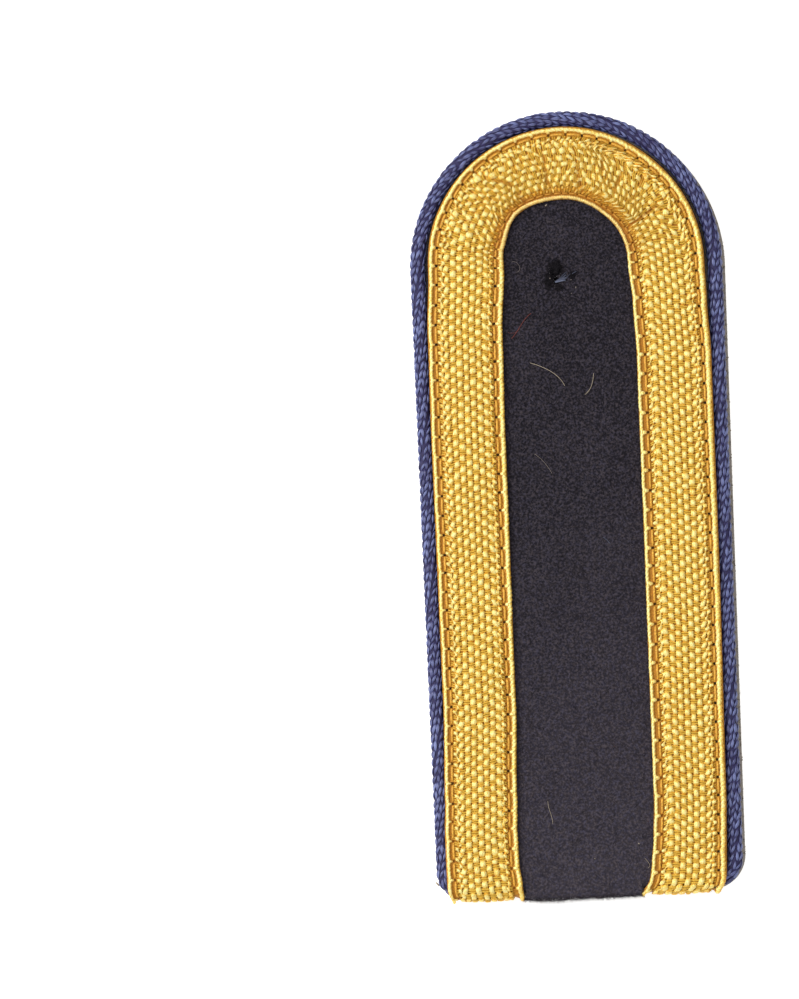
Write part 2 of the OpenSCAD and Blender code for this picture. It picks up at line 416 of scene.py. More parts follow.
def dress(obj, finish):
    """Gives a finished piece its material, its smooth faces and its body."""
    obj.data.name = obj.name
    obj.data.materials.append(finish)
    only(obj)
    bpy.ops.object.shade_smooth()
    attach(obj, "root")


def cover(name, finish):
    """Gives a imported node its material."""
    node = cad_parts[name]
    node.data.materials.clear()
    node.data.materials.append(finish)
    return node


def smooth(share):
    """Eases a share from 0 to 1 in and out."""
    return share * share * (3 - 2 * share)


def inside(place, reach, start=0, stop=1):
    """0 at the start and the stop of a stretch, and 1 from reach inwards."""
    return np.clip(np.minimum(place - start, stop - place) / reach, 0, 1)


def waves(table, along, across):
    """The sum of a table's waves at each place."""
    return sum(size * np.sin(a * along + b * across + start) for size, a, b, start in table)


class Wander:
    """A smooth random offset for each of some lines along their run, about 1 in size."""

    KNOTS = 1200
    LEAD = 20

    def __init__(self, seed, lines, step):
        self.step = step
        self.knots = np.random.default_rng(seed).normal(size=(lines, self.KNOTS))

    def __call__(self, line, along):
        place = along / self.step + self.LEAD
        knot = np.clip(np.floor(place).astype(int), 0, self.KNOTS - 2)
        share = smooth(np.clip(place - knot, 0, 1))
        return self.knots[line, knot] * (1 - share) + self.knots[line, knot + 1] * share


# Laying pieces on the board

def table_at(table, place, column):
    """Smooth value of a table's column at each place."""
    i = np.clip(np.searchsorted(table[:, 0], place, side="right") - 1, 0, len(table) - 2)
    share = smooth(np.clip((place - table[i, 0]) / (table[i + 1, 0] - table[i, 0]), 0, 1))
    return table[i, column] + (table[i + 1, column] - table[i, column]) * share


def round_share(along):
    """Share of the rounded end's lace that lies before each place along the lace."""
    return np.clip((along - ARM_L) / ROUND_L, 0, 1)


def rounded(along):
    """1 along the rounded end, fading to 0 at both ends of it."""
    return inside(round_share(along), 0.1)


def arm_run(along):
    """How much of the two arms lies before each place along the lace."""
    return np.clip(along, 0, ARM_L) + np.clip(along - ROUND_STOP, 0, ARM_L)


def past_arms(along):
    """How far each place along the lace lies past the flat run of its arm."""
    return np.clip(-along, 0, None) + np.clip(along - FLAT_L, 0, None)


def on_lace(along):
    """Keeps places within the lace's two ends."""
    return np.clip(along, LACE_START, LACE_END)


def leaned(station):
    """How far the board's sides lean in towards the straight end."""
    return SIDE_LEAN * (np.clip(1 - station, 0, None) + np.clip(station - 2, 0, None))


def edge_out(station, even, column):
    """How far out of the board's middle an edge of the lace runs."""
    return even - leaned(np.clip(station, 0, 3)) + LACE_W * table_at(EDGE_RUN, station, column)


def gather_pulls(station, share, half):
    """For each gather, its station and how strongly it pulls within half of it."""
    for at, depth, reach in GATHERS:
        near = np.exp(-(((station - at) / half) ** 2))
        yield at, depth * near * np.clip(1 - share / reach, 0, None)


def gathered(station, share):
    """How much of the lace's height the gathers take away."""
    return sum(pull for at, pull in gather_pulls(station, share, GATHER_HALF))


def drawn_in(station, share):
    """Station of a point after the gathers have drawn the weave together."""
    pulls = gather_pulls(station, share, DRAWN_HALF)
    return station + 0.45 * sum((at - station) * pull for at, pull in pulls)


def eased(run, share):
    """Share of the turn round the end, for lace that has run this share of its eased length."""
    even = np.interp(run * EASE[-1, 1], EASE[:, 1], EASE[:, 0])
    inner = np.clip(1.15 - share, 0, 1)
    return even + waves(EASE_WAVES, run, share) * inner * inside(run, 0.12)


def creased(x, y):
    """How deep the sharp creases sink the lace at each place."""
    sunk = np.zeros_like(x)
    for start, stop, depth, half in CREASES:
        a, b = np.array(start) * MM + [MIDDLE_X, 0], np.array(stop) * MM + [MIDDLE_X, 0]
        run = b - a
        share = ((x - a[0]) * run[0] + (y - a[1]) * run[1]) / (run @ run)
        side = ((y - a[1]) * run[0] - (x - a[0]) * run[1]) / (np.linalg.norm(run) * half * MM)
        ends = np.clip(np.minimum(share, 1 - share) / 0.2 + 0.6, 0, 1)
        lip = 0.35 * np.exp(-((side + 1.9) ** 2))
        sunk += depth * MM * ends * (np.exp(-(side ** 2)) - lip)
    return sunk


def bowed(along, across):
    """Along the lace, how far the rows of the weave bow out of square."""
    flat = (along / MM, across / MM)
    wild = 0.45 + 0.9 * rounded(along)
    bow = wild * waves(BOW_WAVES, *flat) + waves(FINE_BOW_WAVES, *flat)
    lean = table_at(LEAN, arm_run(along) / ARM_L + round_share(along), 1)
    bow += lean * (across - (BAND_FROM + BAND_TO) / 2) / MM
    in_band = inside(across, 1.2 * MM, BAND_FROM, BAND_TO)
    return bow * MM * in_band * inside(along, 3 * MM, 0, FLAT_L)


def band_top(across):
    """Height of the lace's woven band at a place across the lace."""
    share = np.clip((across - BAND_FROM) / (BAND_TO - BAND_FROM), 0, 1)
    return LACE_T * np.interp(share, BAND_CROWN[:, 0], BAND_CROWN[:, 1])


def lay_lace(along, across, height):
    """Places on the board of points of the flat lace."""
    along = along + bowed(along, across)
    station = arm_run(along) / ARM_L + eased(round_share(along), across / LACE_W)
    on_round = (station > 1) & (station < 2)
    shift = BORDER_SHIFT * np.clip(np.sin(math.pi * (station - 1)), 0, 1) * on_round
    shift *= np.interp(across, [0.6 * MM, BAND_FROM, BAND_TO], [0, 1, 0])
    share = (across - shift) / LACE_W
    turned = np.clip(past_arms(along) / TURN_L, 0, 1)
    station = station + TURN_STATIONS * turned * np.where(along < 0, -1, 1)
    station = drawn_in(station, share)
    outer, inner = edge_out(station, OUTER_EVEN, 1), edge_out(station, INNER_EVEN, 2)
    out = inner + (outer - inner) * share
    height = height * (1 - gathered(station, share))

    angle = math.pi * (2 - station)
    on_round = (station > 1) & (station < 2)
    left = station < 1.5
    x = MIDDLE_X + np.where(on_round, out * np.cos(angle), np.where(left, -out, out))
    arm_y = BEND_Y + ARM_L * np.clip(np.where(left, station, 3 - station), 0, None)
    y = np.where(on_round, ROUND_Y + out * np.sin(angle), arm_y)

    bend, arc = turned * math.pi / 2, TURN_R + height
    y = np.where(turned > 0, BEND_Y - arc * np.sin(bend), y)
    y -= turned * (END_OUT + END_CORD_OUT * np.clip((np.abs(share - 0.5) - 0.36) / 0.1, 0, 1))
    z = np.where(turned > 0, NOSE_Z + arc * np.cos(bend), SEAT_Z + height)
    z -= np.clip(past_arms(along) - TURN_L, 0, DROP_L)
    z -= np.where(on_round, creased(x, y), 0) * np.clip(height / LACE_T, 0, 1)
    return np.column_stack([x, y, z])


def settle(obj, along, across, height):
    """Lays a piece of the flat lace on the board and marks how much painted shade each point gets from
    folds, creases and the shaded inner edge.
    """
    along = on_lace(along)
    placed = lay_lace(along, across, height)
    place_points(obj, placed)
    turn = round_share(along)
    edge = np.clip(1.15 - across / SHADED_W, 0, 1)
    broad, slanting, fine = (waves([row], along / MM, across / MM) for row in SHADE_CLOUD_WAVES)
    shade_cloud = np.clip(broad * slanting + fine - 0.25, 0, 1)
    fold = np.where((turn > 0) & (turn < 1), creased(placed[:, 0], placed[:, 1]), 0) / FOLD_DEPTH
    # The painted shade: the rounded end's shaded inner edge and its cloudy patches, and the creases
    sunk = (EDGE_SHADE * edge + CLOUD_SHADE * shade_cloud) * rounded(along) + np.clip(fold, 0, 1)
    mark(obj, "sunk", np.clip(sunk, 0, 1))


def turned_shade(run):
    """How much painted shade darkens the lace's yarns where they turn down over the end."""
    return 0.45 * np.clip(past_arms(run) / TURN_L * 1.6 - 0.5, 0, 1)


def cord_arc(centre, outer_r, start, stop):
    """The cord's middle line round an arc of the board's edge, with angles in radians."""
    radius = outer_r - CORD_W / 2
    count = max(2, int(abs(stop - start) * radius / (0.2 * MM)))
    angles = np.linspace(start, stop, count)
    return np.column_stack([centre[0] + radius * np.cos(angles), centre[1] + radius * np.sin(angles)])


def piping_line():
    """The cord's middle line, from the right lower corner round to the left one."""
    lean = math.atan(SIDE_LEAN / (ROUND_Y - END_Y))

    def corner(radius, side):
        y = END_Y + CORNER_BACK + radius
        return side * (HALF_W - radius + (y - ROUND_Y) * math.sin(lean)) / math.cos(lean), y

    def stop(centre_x, radius, station):
        reach = edge_out(np.array(station), OUTER_EVEN, 1) + 0.1 * MM - centre_x
        return math.acos(min(0.9, max(0, reach / (radius - CORD_W / 2))))

    right, left = corner(RIGHT_CORNER_R, 1), corner(LEFT_CORNER_R, -1)
    right_stop = stop(right[0], RIGHT_CORNER_R, 3.0) + RIGHT_TUCK
    left_stop = stop(-left[0], LEFT_CORNER_R, 0.0) + LEFT_TUCK
    line = np.vstack([
        cord_arc(right, RIGHT_CORNER_R, -right_stop, -lean),
        cord_arc((0, ROUND_Y), HALF_W, -lean, math.pi + lean),
        cord_arc(left, LEFT_CORNER_R, math.pi + lean, math.pi + left_stop),
    ])
    line[:, 0] += PIPING_OUT * np.clip(line[:, 0] / (12 * MM), 0, 1)
    return line + [MIDDLE_X, 0]


class PipingLay:
    """Lays points (along, round, height) on the cord: round is measured over its section from the
    top towards the inside, height from the core's skin."""

    def __init__(self, core_r):
        self.line = piping_line()
        steps = np.linalg.norm(np.diff(self.line, axis=0), axis=1)
        self.reach = np.concatenate([[0], np.cumsum(steps)])
        self.length = self.reach[-1]
        self.core_r = core_r
        self.flat = CORD_W - 2 * NOSE_R
        self.girth = 2 * math.pi * core_r + 2 * self.flat

    def on_line(self, along):
        """The point of the middle line at each place along the cord."""
        along = np.clip(along, 0, self.length)
        return np.column_stack([np.interp(along, self.reach, self.line[:, k]) for k in (0, 1)])

    def __call__(self, points):
        along, around, height = points.T
        at = np.clip(along, 0, self.length)
        run = self.on_line(at + 0.3 * MM) - self.on_line(at - 0.3 * MM)
        run /= np.linalg.norm(run, axis=1)[:, None]
        inward, up = self.section(around, height)
        across = np.column_stack([-run[:, 1], run[:, 0]])
        place = self.on_line(at) + across * inward[:, None] + run * (along - at)[:, None]
        return np.column_stack([place, NOSE_Z + up])

    def section(self, around, height):
        """How far inward and up a point of the section lies from the cord's middle."""
        half, quarter = self.flat / 2, math.pi * self.core_r / 2
        place = (around + self.girth / 2) % self.girth - self.girth / 2
        side, place = np.sign(place), np.abs(place)
        turn = np.clip(place - half, 0, 2 * quarter) / self.core_r
        under = np.clip(place - half - 2 * quarter, 0, None)
        inward = np.minimum(place, half) - under + (self.core_r + height) * np.sin(turn)
        return side * inward, (self.core_r + height) * np.cos(turn)


# Materials

class Signal:
    """A shader socket whose maths is written with Python's operators."""

    def __init__(self, finish, socket):
        self.finish, self.socket = finish, socket

    def maths(self, operation, *others):
        values = {i: value for i, value in enumerate((self, *others))}
        return self.finish.node("ShaderNodeMath", {"operation": operation}, values)

    def __add__(self, other):
        return self.maths("ADD", other)

    def __mul__(self, other):
        return self.maths("MULTIPLY", other)

    def __sub__(self, other):
        return self.maths("SUBTRACT", other)

    def __rsub__(self, other):
        return (self * -1) + other

    __radd__ = __add__
    __rmul__ = __mul__

    def clamped(self):
        return self.maths("MAXIMUM", 0.0).maths("MINIMUM", 1.0)

    def between(self, low, high):
        """0 at low, 1 at high, smooth in between."""
        ends = {"Value": self, "From Min": low, "From Max": high}
        return self.finish.node("ShaderNodeMapRange", {"interpolation_type": "SMOOTHSTEP"}, ends)


class Finish:
    """A material whose Principled shader is set here and fed from nodes."""

    def __init__(self, name, **constants):
        self.material = bpy.data.materials.new(name)
        self.material.use_nodes = True
        self.tree = self.material.node_tree
        self.shader = self.tree.nodes["Principled BSDF"]
        for socket, value in constants.items():
            self.shader.inputs[socket.replace("_", " ")].default_value = value

    def node(self, kind, settings=None, sockets=None, out=0):
        """One node: its settings first, then the values or links of its sockets."""
        made = self.tree.nodes.new(kind)
        for name, value in (settings or {}).items():
            setattr(made, name, value)
        for name, value in (sockets or {}).items():
            self.feed(made.inputs[name], value)
        return Signal(self, made.outputs[out])

    def feed(self, socket, value):
        if isinstance(value, Signal):
            self.tree.links.new(value.socket, socket)
        else:
            socket.default_value = value

    def place(self):
        return self.node("ShaderNodeTexCoord", out="Object")

    def read(self, name):
        """A value that the piece's vertices carry."""
        return self.node("ShaderNodeAttribute", {"attribute_name": name}, out="Fac")

    def noise(self, per_mm, detail=2.0, rough=0.5):
        """Noise with per_mm features to the millimetre, from 0 to 1."""
        sockets = {"Vector": self.place(), "Scale": per_mm / MM, "Detail": detail, "Roughness": rough}
        return self.node("ShaderNodeTexNoise", None, sockets)

    def mix(self, share, first, second):
        """A colour between two others."""
        a, b = (v if isinstance(v, Signal) else (*v, 1.0) for v in (first, second))
        return self.node("ShaderNodeMix", {"data_type": "RGBA"}, {0: share, 6: a, 7: b}, out=2)

    def colour(self, value):
        self.feed(self.shader.inputs["Base Color"], value)

    def rough(self, value):
        self.feed(self.shader.inputs["Roughness"], value)

    def bump(self, height, depth_mm, strength=1.0):
        sockets = {"Height": height, "Distance": depth_mm * MM, "Strength": strength}
        bumped = self.node("ShaderNodeBump", None, sockets)
        self.feed(self.shader.inputs["Normal"], bumped)

    def ribs(self, per_mm, wave):
        """Fine strands that lie side by side across a yarn, from 0 to 1; the finishes paint light and
        shade with it and bump with it.
        """
        across = self.read("across") * (per_mm * 2 * math.pi / MM)
        return across.maths(wave) * 0.5 + 0.5


def toned(tint, *shares):
    """A colour with each of its parts times its share, or all times one share."""
    return tuple(part * share for part, share in zip(tint, shares * 3 if len(shares) == 1 else shares))


def tinsel_finish(lace, name, ribs=0.0, fold=None):
    """Metallised yarn: a painted highlight where it stands proud, amber painted shade in its hollows and
    folds.
    ribs: how many of its strands lie side by side to the millimetre, each painted lighter down its middle;
    fold: its colour in a fold's painted shade."""
    finish = Finish(name, Metallic=0.4, Specular_IOR_Level=0.3)
    grain = finish.noise(4.2, 3.0, 0.65)
    blotch = finish.noise(1.7, 1.0)
    sunk = finish.read("sunk")
    frayed = finish.noise(5.5, 1.0).between(0.44, 0.32)
    lit = finish.read("tone") + (grain.between(0.34, 0.66) - 0.5) * 0.7 + (blotch - 0.5) * 0.6
    lit = lit - sunk * 0.4 - frayed * 0.4
    height = finish.noise(3.4, 3.0, 0.6)
    if ribs:
        strand_shading = finish.ribs(ribs, "COSINE")
        lit = lit + (strand_shading - 0.6) * 0.4
        height = height * 1.6 + strand_shading
    lit = lit.clamped()
    # Painted light and shade: amber where the tone runs low, pale where it runs high, the fold colour
    # where the fold shade lies
    low = finish.mix(lit.between(0.0, 0.5), lace.amber, lace.gold)
    bright = finish.mix(lit.between(0.5, 1.0), low, lace.pale)
    finish.colour(finish.mix(sunk * 0.6, bright, fold or lace.fold))
    finish.rough(0.38 + grain * 0.25)
    finish.bump(height, 0.05, 0.6)
    return finish.material


def silk_finish(lace, name, lit_silk, ribs=0.0):
    """Amber silk yarn, with painted shade in folds and stitch holes. ribs: how many fine yarns lie side by
    side to the millimetre.
    """
    finish = Finish(name, Specular_IOR_Level=0.25, Roughness=0.5)
    lit = finish.noise(4.0, 3.0, 0.6).between(0.3, 0.7)
    height = finish.noise(9.0, 2.0)
    if ribs:
        # Each fine yarn is painted light on one side and shaded on the other
        strand_shading = finish.ribs(ribs, "SINE")
        lit = (lit * 0.6 + strand_shading * 0.5).clamped()
        height = height * 0.3 + strand_shading
    # A darker copy of the silk, mixed in by random noise and by the painted strand shading
    silk = finish.mix(lit, toned(lit_silk, 0.55), lit_silk)
    fold_shaded = finish.mix(finish.read("sunk") * 0.75, silk, lace.fold)
    # The stitch holes' pits get the painted shade colour
    finish.colour(finish.mix(finish.read("pit").between(0.2, 0.9), fold_shaded, lace.shade))
    finish.bump(height, 0.05, 0.6)
    return finish.material


def rayon_finish(sizes):
    """Blue rayon of the piping's stitches, painted light along each stitch and painted shade at its ends.
    """
    finish = Finish("blue_rayon")
    grain = finish.noise(5.0, 2.0, 0.6)
    lit = (finish.read("tone") + (grain - 0.5) * 0.5).clamped()
    finish.colour(finish.mix(lit, sizes.deep, sizes.light))
    finish.rough(0.36 + grain * 0.2)
    finish.bump(finish.noise(8.0, 2.0), 0.04, 0.4)
    return finish.material


def core_finish(sizes):
    """Shaded strands between the piping's stitches."""
    finish = Finish("blue_core", Roughness=0.7)
    lit = finish.noise(3.0).between(0.35, 0.7)
    finish.colour(finish.mix(lit, toned(sizes.deep, 0.55), sizes.deep))
    finish.bump(finish.noise(4.0), 0.08, 0.6)
    return finish.material


def wool_finish(sizes):
    """Navy wool cloth, fulled, and dusty towards the straight end."""
    finish = Finish("navy_wool", Specular_IOR_Level=0.1, Roughness=0.95)
    curl = finish.noise(3.0, 3.0, 0.68)
    cloudy = finish.noise(0.12, 2.0, 0.6).between(0.4, 0.8)
    place_y = finish.node("ShaderNodeSeparateXYZ", None, {"Vector": finish.place()}, out=1)
    dusty = place_y.between(25 * MM, -85 * MM)
    lit = (curl.between(0.40, 0.66) * 0.47 + dusty * 0.3 + cloudy * 0.05 - 0.01).clamped()
    hue = finish.noise(1.9, 3.0, 0.7).between(0.35, 0.65)
    fuzz = finish.mix(hue, toned(sizes.fibre, 0.84, 0.9, 1.12), toned(sizes.fibre, 1.06, 1.02, 0.96))
    finish.colour(finish.mix(lit, sizes.wool, fuzz))
    finish.bump(curl, 0.2, 0.9)
    return finish.material


def fibre_finish(name, base, light):
    """Loose fibres, each with its own tone."""
    finish = Finish(name, Specular_IOR_Level=0.1, Roughness=0.8)
    finish.colour(finish.mix(finish.read("tone"), base, light))
    return finish.material


def felt_finish(sizes):
    """Pressed grey felt with darker flecks."""
    finish = Finish("grey_felt", Sheen_Weight=0.2, Roughness=0.95)
    fleck = finish.noise(1.6, 4.0, 0.7)
    finish.colour(finish.mix(fleck.between(0.5, 0.68), sizes.felt, sizes.fleck))
    finish.bump(finish.noise(2.4, 4.0, 0.7), 0.15, 0.8)
    return finish.material


# The lace

# One over and under of a warp yarn, and of the yarn of the border loops
WARP_WAVE = [
    # share of the weave's pitch, dip as a share of the wave, width and height as shares
    [-0.45, 0.97, 0.66, 0.9],
    [-0.35, 0.72, 0.84, 1.0],
    [-0.25, 0.18, 0.98, 1.0],
    [-0.09, 0.0, 1.0, 1.0],
    [0.09, 0.0, 1.0, 1.0],
    [0.25, 0.18, 0.98, 1.0],
    [0.35, 0.72, 0.84, 1.0],
    [0.45, 0.97, 0.66, 0.9],
]

# How far the warp yarns swing across as they run, in millimetres, evenly spread over the band
EDGE_SWINGS = [0.10, 0.04, 0, 0, 0, -0.04, -0.12]


def warp_pitch(lace):
    """Distance from one warp yarn to the next."""
    return (BAND_TO - BAND_FROM - 2 * BORDER_W) / lace.warps


def along_lace(unit, step, weld=True):
    """Repeats unit along the whole lace."""
    return repeat(unit, int(LACE_L / step) + 1, (step, 0, 0), weld)


def waved_rings(period, dip, half_w, half_h):
    """Rings of a yarn over one repeat of its wave."""
    rings = [
        (at * period, 0, -down * dip, wide * half_w, high * half_h)
        for at, down, wide, high in WARP_WAVE
    ]
    return rings + [(rings[0][0] + period, *rings[0][1:])]


def crowned(phase, flat, slope):
    """1 on a yarn's crown, which reaches flat to either side of phase 0, falling to 0 over slope."""
    return 1 - np.clip((np.abs((phase + 0.5) % 1 - 0.5) - flat) / slope, 0, 1)


class BOARD_OT_lace_warps(bpy.types.Operator):
    """Weave the lace's bright warp yarns"""

    bl_idname = "board.lace_warps"
    bl_label = "Lace: warp yarns"

    def execute(self, context):
        lace = context.scene.board.lace
        pitch, period = warp_pitch(lace), lace.weave_pitch
        unit = ring_tube("warp", 8, waved_rings(period, lace.warp_wave, lace.warp_w / 2, lace.warp_t / 2))
        points = points_of(unit)
        side = np.clip(np.abs(points[:, 1]) / (lace.warp_w / 2), 0.001, 1)
        points[:, 1] *= side ** -0.35
        place_points(unit, points)
        even = along_lace(unit, period)
        odd = twin(even, (period / 2, pitch, 0))
        repeat(even, (lace.warps + 1) // 2, (0, 2 * pitch, 0))
        repeat(odd, lace.warps // 2, (0, 2 * pitch, 0))
        yarns = joined("tress_warps", [even, odd])
        close_ends(yarns)
        self.lay(yarns, lace)
        dress(yarns, tinsel_finish(lace, "gold_tinsel", ribs=5.0))
        return {"FINISHED"}

    def lay(self, yarns, lace):
        """Varies the yarns, most on the rounded end, and lays them on the board."""
        pitch, period = warp_pitch(lace), lace.weave_pitch
        along, across, dip = points_of(yarns).T
        column = np.clip(np.rint(across / pitch), 0, lace.warps - 1).astype(int)
        off_line = across - column * pitch
        centre = BAND_FROM + BORDER_W + (column + 0.5) * pitch
        wild = 1 + 1.5 * rounded(LACE_START + along)
        phase = along / period - column / 2

        def vary(seed):
            return Wander(seed, lace.warps, period / 2)(column, along)

        swing = np.interp(column / (lace.warps - 1), np.linspace(0, 1, len(EDGE_SWINGS)), EDGE_SWINGS)
        swing += 0.03 * wild ** 1.5 * vary(11)
        plump = np.clip(1.06 - 0.06 * wild + 0.1 * wild * vary(12), 0.62, 1.3)
        plump *= np.where(column == lace.warps - 1, 0.86, 1)
        across = centre + off_line * plump + swing * MM * np.sin(2 * math.pi * phase)
        across += wild * 0.035 * MM * vary(13)
        height = band_top(centre) - lace.warp_t / 2 + dip + 0.03 * MM * vary(14)
        run = LACE_START + along + wild * 0.045 * MM * vary(15)
        # Painted light and shade: a highlight on each yarn's crown, shade down its dips and where the lace
        # turns down; the rest of the tone varies at random
        tone = 0.15 + 0.02 * wild + (0.76 + 0.3 * dip / lace.warp_t) * crowned(phase, 0.19, 0.12)
        tone += 0.11 * wild ** 0.7 * vary(16) - turned_shade(run)
        mark_tone(yarns, tone)
        mark(yarns, "across", off_line)
        settle(yarns, run, across, height)


class BOARD_OT_lace_wefts(bpy.types.Operator):
    """Weave the lace's amber weft yarns, two to a shed"""

    bl_idname = "board.lace_wefts"
    bl_label = "Lace: weft yarns"

    # The weft's rows are numbered as they lie along the lace, and those past the last share its drift
    ROWS = 400

    def execute(self, context):
        lace = context.scene.board.lace
        pitch, period, half = warp_pitch(lace), lace.weave_pitch, lace.weft_w / 2
        places = np.arange(-1.2, lace.warps + 0.71, 0.5)
        pairs = []
        for row, wave in ((0, -0.42 * lace.warp_wave), (1, 0.42 * lace.warp_wave)):
            rings = [(at * pitch, 0, wave * math.cos(math.pi * at), half, half) for at in places]
            for side in (-0.5, 0.5):
                yarn = ring_tube("weft", 6, rings, closed=True)
                across, back, up = points_of(yarn).T
                along = row * period / 2 + side * 1.13 * lace.weft_w - back
                place_points(yarn, np.column_stack([along, across, up]))
                mark(yarn, "across", back)
                pairs.append(yarn)
        yarns = along_lace(joined("tress_wefts", pairs), period, weld=False)
        self.lay(yarns, lace)
        face_outwards(yarns)
        dress(yarns, silk_finish(lace, "amber_silk", lace.silk, ribs=1.7))
        return {"FINISHED"}

    def lay(self, yarns, lace):
        """Varies the yarns, sinks them at the inner border of the rounded end, and lays them."""
        along, reach, up = points_of(yarns).T
        row = np.clip(np.rint(along / (lace.weave_pitch / 2)), 0, self.ROWS - 1).astype(int)
        run = LACE_START + along + 0.05 * MM * Wander(21, self.ROWS, 1.6 * MM)(row, reach)
        across = BAND_FROM + BORDER_W + warp_pitch(lace) / 2 + reach
        edge = np.clip(across, BAND_FROM - 0.1 * MM, BAND_TO + 0.1 * MM)
        height = band_top(edge) - lace.warp_t / 2 - 0.5 * lace.warp_wave - 0.02 * MM + up
        height += 0.02 * MM * Wander(22, self.ROWS, 1.0 * MM)(row, across)
        inner = np.clip(1 - (across - BAND_FROM) / (1.1 * MM), 0, 1) * rounded(run)
        sunk = 0.16 + 0.12 * Wander(23, self.ROWS, 0.8 * MM)(row, across)
        settle(yarns, run, across, height - inner * sunk * MM)


class BOARD_OT_lace_cords(bpy.types.Operator):
    """Wrap the lace's two edge cords, the outer one thin on the left arm and thick on the right"""

    bl_idname = "board.lace_cords"
    bl_label = "Lace: edge cords"

    # Length of one turn of a cord's two plies. Their radius, and how far each lies from the cord's
    # middle, are shares of its width.
    TURN = 1.35 * MM
    PLY_R = 0.39
    COIL_R = 0.11
    STEPS = 8
    CORDS = [
        # name, width on the left arm, width on the right arm, side, seed
        ("inner", 0.80 * MM, 0.56 * MM, -1, 31),
        ("outer", 0.54 * MM, 0.84 * MM, 1, 32),
    ]

    def execute(self, context):
        lace = context.scene.board.lace
        cord = joined("tress_cords", [self.cord(lace, *row) for row in self.CORDS])
        dress(cord, tinsel_finish(lace, "gold_cord", fold=lace.tan))
        return {"FINISHED"}

    def twisted(self, name):
        """A cord of two plies, each one helix, along the whole lace and 1 wide."""
        rings = []
        for i in range(self.STEPS + 1):
            angle = 2 * math.pi * i / self.STEPS
            coil = (self.COIL_R * math.cos(angle), self.COIL_R * math.sin(angle))
            rings.append((self.TURN * i / self.STEPS, *coil, self.PLY_R, self.PLY_R))
        first = along_lace(ring_tube(name, 6, rings), self.TURN)
        cord = joined(name, [first, twin(first, (self.TURN / 2, 0, 0))])
        close_ends(cord)
        return cord

    def cord(self, lace, name, left_w, right_w, side, seed):
        """The inner (-1) or outer (1) edge cord, pulled in a little at each stitch hole."""
        cord = self.twisted(name)
        along, out, up = points_of(cord).T
        run = on_lace(LACE_START + along)
        share = round_share(run)
        width = left_w + (right_w - left_w) * share
        to_hole = np.abs(run[:, None] - hole_places(lace, side)[None, :]).min(axis=1)
        across = LACE_W / 2 + side * (LACE_W - width) / 2 + out * width
        across -= side * 0.07 * MM * np.exp(-((to_hole / (0.35 * MM)) ** 2))
        across += 0.03 * MM * Wander(seed, 1, 2.2 * MM)(0, run)
        height = 0.79 * LACE_T - 0.45 * width + 0.9 * up * width
        wide = np.clip((width / MM - 0.5) / 0.3, 0, 1)
        turn = inside(share, 0.15) * (side < 0)
        right = out * np.where(share < 0.5, -1, 1)
        # Painted light and shade: the top of each ply lit, most on the inner cord round the end, the wide
        # cords shaded on their right side, away from the light, and darker where the lace turns down
        tone = 0.72 + (0.5 + 0.9 * turn) * up - 2.0 * wide * np.clip(right - 0.08, 0, 1)
        tone += 0.1 * turn - 0.06 * (side > 0) + 0.1 * Wander(seed, 1, 0.9 * MM)(0, run) - turned_shade(run)
        mark_tone(cord, tone)
        settle(cord, run, across, height)
        return cord


class BOARD_OT_lace_loops(bpy.types.Operator):
    """Lay the small bright loops along both borders of the woven band"""

    bl_idname = "board.lace_loops"
    bl_label = "Lace: border loops"

    def execute(self, context):
        lace = context.scene.board.lace
        loops = joined("tress_loops", [self.border(lace, -1, 35), self.border(lace, 1, 36)])
        close_ends(loops)
        dress(loops, tinsel_finish(lace, "gold_loop", ribs=5.0))
        return {"FINISHED"}

    def border(self, lace, side, seed):
        """The loops of the inner (-1) or outer (1) border, one yarn that swings from side to side."""
        period = lace.weave_pitch / 2
        rings = waved_rings(period, 0.55 * lace.warp_wave, 0.3 * MM, 0.16 * MM)
        loops = along_lace(ring_tube("loop", 7, rings), period)
        along, off_line, up = points_of(loops).T
        run = on_lace(LACE_START + along)
        share = round_share(run)
        # lit: painted light on the border on the side of each arm that faces the light; those loops also
        # swing wider
        lit = 0.4 + 0.6 * share if side < 0 else 1 - 0.5 * share
        turn = inside(share, 0.12) * (side < 0)

        def vary(shift, step):
            return Wander(seed + shift, 1, step)(0, along)

        # Painted highlight on each loop's crown, more on the lit border; painted shade on the inner border
        # round the end and where the lace turns down
        tone = 0.08 + 0.6 * crowned(along / period, 0.2, 0.24) + 0.28 * lit - 0.4 * turn
        mark_tone(loops, tone + 0.2 * vary(2, 0.5 * period) - turned_shade(run))
        mark(loops, "across", off_line)
        middle = BAND_FROM + 0.4 * MM if side < 0 else BAND_TO - 0.4 * MM
        swing = (0.13 + 0.11 * lit) * MM * (1 + 0.3 * vary(0, period)) * np.cos(math.pi * along / period)
        across = middle + off_line * (1 + 0.2 * vary(4, period)) + swing
        height = band_top(middle) - (0.12 + 0.25 * turn) * MM + up
        settle(loops, run, across, height)
        return loops


def hole_places(lace, side):
    """Along the lace, the place of each stitch hole of the inner (-1) or outer (1) channel."""
    places = [LACE_START + DROP_L + (0.3 if side > 0 else 0.8) * lace.stitch]
    shift = np.random.default_rng(41 + side)
    while places[-1] < LACE_END - DROP_L - 1.2 * lace.stitch:
        drawn = 0.86 if ARM_L < places[-1] < ROUND_STOP else 1.0
        places.append(places[-1] + lace.stitch * (drawn + shift.uniform(-0.08, 0.08)))
    return np.array(places)


def thread_line(side):
    """Across the lace, where a channel's sewing thread runs."""
    return BAND_TO + THREAD_OFF if side > 0 else BAND_FROM - THREAD_OFF


